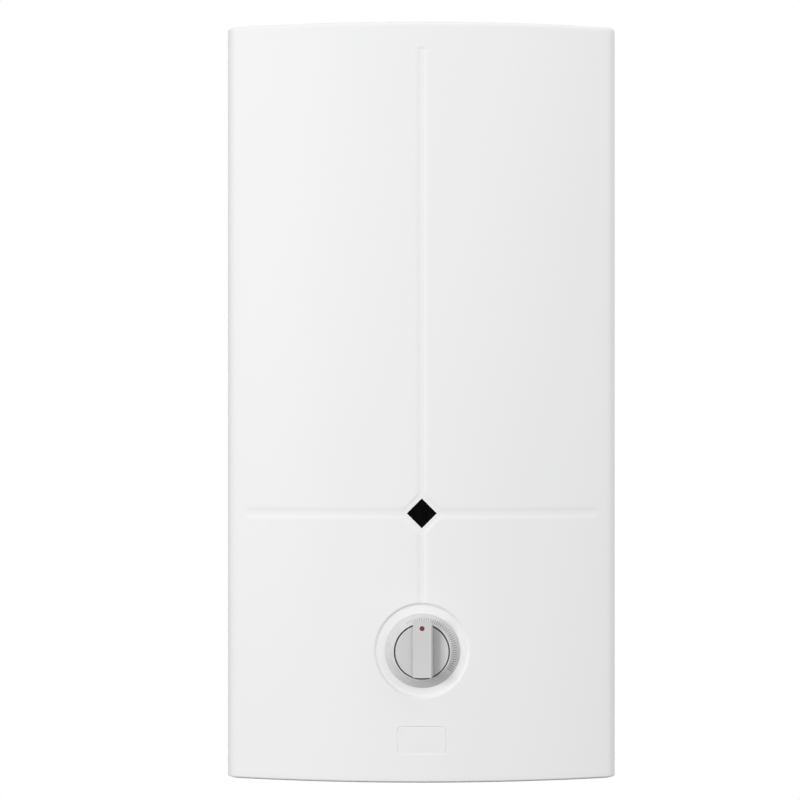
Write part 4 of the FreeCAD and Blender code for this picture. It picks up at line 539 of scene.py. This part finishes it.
def plan_profile(inset):
    """Plan of the cover, from the rear left edge round the front to the rear right edge."""
    radius = CORNER - inset
    bow = BOW_RADIUS - inset
    centre_x = HALF_WIDTH - CORNER
    centre_depth = BOW_CENTRE + math.sqrt((BOW_RADIUS - CORNER) ** 2 - centre_x ** 2)
    meet = math.asin(centre_x / (BOW_RADIUS - CORNER))
    right = []
    reach = bow * math.sin(meet)
    for x in steps([(0.0, WINDOW_STEP), (WINDOW_COLUMNS * WINDOW_STEP, WALL_STEP),
                    (POCKET_HALF_WIDTH + POCKET_WALL, DISH_COLUMN),
                    (DISH_COLUMNS_END, PLAIN_COLUMN),
                    (LEVEL_HALF_LENGTH - GROOVE_END_INNER, GROOVE_END_COLUMN),
                    (LEVEL_HALF_LENGTH + GROOVE_END_OUTER, ONE_STEP), (reach, ONE_STEP)]):
        depth = BOW_CENTRE + math.sqrt(bow ** 2 - x ** 2)
        right.append((x, depth, True))
    for index in range(1, CORNER_STEPS + 1):
        angle = meet + (math.pi / 2 - meet) * index / CORNER_STEPS
        right.append((centre_x + radius * math.sin(angle),
                      centre_depth + radius * math.cos(angle), False))
    for depth in steps([(centre_depth, SIDE_COLUMN), (REAR, ONE_STEP)])[1:]:
        right.append((HALF_WIDTH - inset, depth, False))
    left = [(-x, depth, front) for x, depth, front in reversed(right[1:])]
    return left + right


def cover_heights():
    """Heights and insets of the rings of the cover, from its lower to its upper edge."""
    rings = [(LOW, LOWER_INSET + FLAT_MARGIN)]
    rings += [(LOW + LOWER_EDGE * rise, LOWER_INSET * inset) for rise, inset in LOWER_PROFILE]
    badge_low = BADGE_Z - POCKET_HALF_HEIGHT
    badge_high = BADGE_Z + POCKET_HALF_HEIGHT
    heights = steps([
        (LOW + LOWER_EDGE, EDGE_ROW), (badge_low - POCKET_WALL, WALL_STEP),
        (badge_low + POCKET_ROUND, BADGE_ROW), (badge_high - POCKET_ROUND, WALL_STEP),
        (badge_high + POCKET_WALL, EDGE_ROW), (KNOB_Z - DISH_ROWS_BELOW, DISH_ROW),
        (KNOB_Z + DISH_ROWS_ABOVE, PLAIN_ROW),
        (SIGHT_Z - WINDOW_ROWS * WINDOW_STEP, WINDOW_STEP),
        (SIGHT_Z + WINDOW_ROWS * WINDOW_STEP, PLAIN_ROW),
        (GROOVE_TOP - GROOVE_END_INNER, DISH_ROW), (GROOVE_TOP + GROOVE_TOP_OUTER, BADGE_ROW),
        (HIGH - EDGE, ONE_STEP)])
    rings += [(height, 0.0) for height in heights]
    for index in range(EDGE_STEPS):
        angle = math.pi / 2 * (EDGE_STEPS - 1 - index) / EDGE_STEPS
        rings.append((HIGH - EDGE * (1 - math.cos(angle)), EDGE * (1 - math.sin(angle))))
    return rings + [(HIGH, EDGE + FLAT_MARGIN)]


def past_window(corner):
    """Distance of a corner beyond the diamond of the sight window, along its axes."""
    return abs(corner.co.x) + abs(corner.co.z - SIGHT_Z) - SIGHT_HALF


def front_cover():
    """Enamelled cover as one surface, given its sheet by a modifier."""
    mesh = bmesh.new()
    rings = []
    for height, inset in cover_heights():
        ring = []
        for x, depth, front in plan_profile(inset):
            if front and inset == 0.0:
                depth = relief(x, height, depth)
            ring.append(mesh.verts.new((x, -depth, height)))
        rings.append(ring)

    # Side walls and front, open at the sight window
    for low, high in zip(rings, rings[1:]):
        for index in range(len(low) - 1):
            quad = [low[index], low[index + 1], high[index + 1], high[index]]
            if min(-corner.co.y for corner in quad) > WINDOW_DEPTH:
                if all(past_window(corner) < WINDOW_TOLERANCE for corner in quad):
                    continue
                quad = [corner for corner in quad if past_window(corner) > -WINDOW_INSIDE]
            if len(quad) > 2:
                mesh.faces.new(quad)

    # Top with the notch round the flue and the air slots, bottom with its return flange
    panel(mesh, rings[-1], notch_path(), slot_loops())
    inner = HALF_WIDTH - FLANGE_WIDTH
    flange = [(inner, -REAR, LOW), (inner, -FLANGE_FRONT, LOW),
              (-inner, -FLANGE_FRONT, LOW), (-inner, -REAR, LOW)]
    panel(mesh, rings[0], flange, [])
    bmesh.ops.recalc_face_normals(mesh, faces=mesh.faces)
    for face in mesh.faces:
        face.smooth = True
    for edge in mesh.edges:
        edge.smooth = not edge.is_boundary
    data = bpy.data.meshes.new("cover")
    mesh.to_mesh(data)
    mesh.free()
    cover = bpy.data.objects.new("cover", data)
    bpy.context.scene.collection.objects.link(cover)
    return cover


def notch_path():
    """Outline of the notch round the flue, from the rear right to the rear left."""
    path = [(NOTCH_HALF_WIDTH, -REAR, HIGH)]
    for index in range(NOTCH_STEPS + 1):
        angle = math.pi * index / NOTCH_STEPS
        path.append((NOTCH_HALF_WIDTH * math.cos(angle),
                     -FLUE_DEPTH - NOTCH_HALF_WIDTH * math.sin(angle), HIGH))
    return path + [(-NOTCH_HALF_WIDTH, -REAR, HIGH)]


def slot_loops():
    """Outlines of the air slots in the top."""
    loops = []
    for side in (-1, 1):
        for index in range(SLOT_COUNT):
            near = side * (SLOT_START + SLOT_PITCH * index)
            far = near + side * SLOT_WIDTH
            loops.append([(near, -SLOT_REAR, HIGH), (far, -SLOT_REAR, HIGH),
                          (far, -SLOT_FRONT, HIGH), (near, -SLOT_FRONT, HIGH)])
    return loops


def panel(mesh, ring, path, holes):
    """Flat panel between a ring of the cover and a cut-out path, with holes."""
    corners = [mesh.verts.new(place) for place in path]
    loop = list(ring) + corners
    edges = []
    for first, second in zip(loop, loop[1:] + loop[:1]):
        edges.append(mesh.edges.get((first, second)) or mesh.edges.new((first, second)))
    for hole in holes:
        rim = [mesh.verts.new(place) for place in hole]
        for first, second in zip(rim, rim[1:] + rim[:1]):
            edges.append(mesh.edges.new((first, second)))
    bmesh.ops.triangle_fill(mesh, use_beauty=True, use_dissolve=False, edges=edges)


def dial_marks():
    """Printed scale on the cone of the dial ring: lines that grow clockwise. Partly painted
    shade: the marks widen and lengthen towards the ring's right side, so that they darken it in
    place of its shade.
    """
    low_corner, high_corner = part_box("dial_ring")
    front = low_corner.y
    rim = high_corner.y - RING_FOOT
    corners = []
    faces = []
    for index in range(MARK_COUNT):
        share = index / (MARK_COUNT - 1)
        angle = MARK_START + index * MARK_STEP
        inner = RING_LIP_RADIUS + MARK_MARGIN
        outer = inner + MARK_LENGTH + MARK_GROWTH * share
        half_width = MARK_HALF_WIDTH + MARK_WIDENING * share
        first = len(corners)
        for radius, side in ((inner, -1), (inner, 1), (outer, 1), (outer, -1)):
            rise = (RING_RADIUS - radius) / (RING_RADIUS - RING_LIP_RADIUS)
            level = rim + (front - rim) * rise - MARK_LIFT
            turn = angle + side * half_width / radius
            corners.append((radius * math.sin(turn), level, KNOB_Z + radius * math.cos(turn)))
        faces.append((first, first + 1, first + 2, first + 3))
    data = bpy.data.meshes.new("dial_marks")
    data.from_pydata(corners, [], faces)
    marks = bpy.data.objects.new("dial_marks", data)
    bpy.context.scene.collection.objects.link(marks)
    return marks


marks = dial_marks()
# The dial marks are print that also stands in for the shade on the right of the ring
marks.data.materials.append(
    finish_of("dial_print_and_painted_shade", (0.22, 0.22, 0.23), (0.34, 0.34, 0.34), rough=0.5,
              patches=9.0, grain=900.0, grain_depth=FINE_GRAIN))
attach(marks, "root")

cover = front_cover()
skin = cover.modifiers.new("sheet", "SOLIDIFY")
skin.thickness = SHEET
skin.offset = -1
dress(cover, "white_enamel")
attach(cover, "root")
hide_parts("front_cover")


# Springs: each one copied as a fixed coil on the root

def pressed_spring(name):
    """Copy of a spring with its own mesh, dressed and fixed to the root in place of its frame
    piece.
    """
    coil = bpy.data.objects.new(name + "_coil", nodes[name].data.copy())
    bpy.context.scene.collection.objects.link(coil)
    dress(coil, slots[name])
    soften(coil, 0.0)
    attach(coil, "root")
    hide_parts(name)
    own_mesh(coil)


for spring in ("return_spring", "safety_spring"):
    pressed_spring(spring)
pressed_spring("gas_disc_spring")


# Floor, background and light

FLOOR_HEIGHT = -1.05
FLOOR_REACH = 1.3
FLOOR_MIDDLE = -0.1
FADE_START = 0.3
FADE_END = 0.9
ROOM_LEVEL = 0.06
FRONT_GLOW = ((0, -1, 0.2), 0.49)
SIDE_GLOW = ((0.85, 0.45, 0.3), 1.15)
TOP_GLOW = ((0, 0, 1), 0.25)
KEY_PLACE = (-4.07, -5.81, 0.72)
KEY_AIM = (0, -0.2, -0.25)
KEY_SIZE = 2.4
KEY_POWER = 280


def stage_plane(name, low, high, height, material):
    """Flat stage piece between two corners."""
    data = bpy.data.meshes.new(name)
    corners = [(low[0], low[1], height), (high[0], low[1], height),
               (high[0], high[1], height), (low[0], high[1], height)]
    data.from_pydata(corners, [], [(0, 1, 2, 3)])
    data.materials.append(material)
    plane = bpy.data.objects.new(name, data)
    bpy.context.scene.collection.objects.link(plane)
    plane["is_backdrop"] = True


def seen_directly(tree):
    """1 for camera, glossy and transmission rays, 0 for the rest."""
    path = tree.nodes.new("ShaderNodeLightPath")
    value = path.outputs["Is Camera Ray"]
    for kind in ("Is Glossy Ray", "Is Transmission Ray"):
        value = reckoned(tree, "MAXIMUM", value, path.outputs[kind])
    return value


def floor_material():
    """Pale floor that throws little light back on the object."""
    material, tree, shader, place = bare_material("studio_floor")
    grain = noise(tree, place, 4.0, 4.0)
    dark = ramp(tree, grain, [(0.3, (0.09, 0.09, 0.09)), (0.7, (0.10, 0.10, 0.10))])
    pale = ramp(tree, grain, [(0.3, (0.90, 0.90, 0.90)), (0.7, (0.92, 0.92, 0.92))])
    seen = seen_directly(tree)
    tree.links.new(mixed(tree, seen, dark, pale), shader.inputs["Base Color"])
    shader.inputs["Roughness"].default_value = 0.9
    shader.inputs["Specular IOR Level"].default_value = 0.1

    # Towards its edge the floor turns into the white of the background
    away = tree.nodes.new("ShaderNodeVectorMath")
    away.operation = "DISTANCE"
    away.inputs[1].default_value = (0, FLOOR_MIDDLE, FLOOR_HEIGHT)
    tree.links.new(place, away.inputs[0])
    faded = spread(tree, away.outputs["Value"], 0.0, 1.0,
                   FADE_START * FLOOR_REACH, FADE_END * FLOOR_REACH)
    white = tree.nodes.new("ShaderNodeEmission")
    join = tree.nodes.new("ShaderNodeMixShader")
    tree.links.new(reckoned(tree, "MULTIPLY", faded, seen), join.inputs[0])
    tree.links.new(shader.outputs[0], join.inputs[1])
    tree.links.new(white.outputs[0], join.inputs[2])
    tree.links.new(join.outputs[0], tree.nodes["Material Output"].inputs["Surface"])
    return material


stage_plane("floor", (-FLOOR_REACH, FLOOR_MIDDLE - FLOOR_REACH),
            (FLOOR_REACH, FLOOR_MIDDLE + FLOOR_REACH), FLOOR_HEIGHT, floor_material())

world = bpy.data.worlds.new("studio")
bpy.context.scene.world = world
world.use_nodes = True
sky = world.node_tree
backdrop = sky.nodes["Background"]
direction = sky.nodes.new("ShaderNodeTexCoord").outputs["Generated"]


def glow(aim, strength):
    """Soft light from one side of the room, strongest in the direction of the aim."""
    toward = sky.nodes.new("ShaderNodeVectorMath")
    toward.operation = "DOT_PRODUCT"
    toward.inputs[1].default_value = Vector(aim).normalized()
    sky.links.new(direction, toward.inputs[0])
    return spread(sky, toward.outputs["Value"], 0.0, strength, 0.0, 1.0)


light = ROOM_LEVEL
for aim, strength in (FRONT_GLOW, SIDE_GLOW, TOP_GLOW):
    light = reckoned(sky, "ADD", glow(aim, strength), light)
room = mixed(sky, seen_directly(sky), light, (1, 1, 1, 1))
sky.links.new(room, backdrop.inputs["Color"])


def area_light(name, place, aim, size, power):
    """Soft square lamp."""
    lamp = bpy.data.lights.new(name, "AREA")
    lamp.size = size
    lamp.energy = power
    holder = bpy.data.objects.new(name, lamp)
    holder.location = place
    holder.rotation_euler = (Vector(aim) - Vector(place)).to_track_quat("-Z", "Y").to_euler()
    bpy.context.scene.collection.objects.link(holder)


area_light("key", KEY_PLACE, KEY_AIM, KEY_SIZE, KEY_POWER)


# Camera: level and square on, at the photograph's distance

CAMERA_PLACE = (-0.0166, -1.8213, -0.2676)
FOCAL_LENGTH = 94.77
FRAME_SHIFT = 0.04

lens = bpy.data.cameras.new("camera")
lens.lens = FOCAL_LENGTH
lens.sensor_width = 36
lens.shift_y = FRAME_SHIFT
camera = bpy.data.objects.new("camera", lens)
camera.location = CAMERA_PLACE
camera.rotation_euler = (math.radians(90), 0, 0)
bpy.context.scene.collection.objects.link(camera)
bpy.context.scene.camera = camera

bpy.context.scene.view_settings.view_transform = "Standard"

{"start": start_size, "end": plain(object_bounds())}
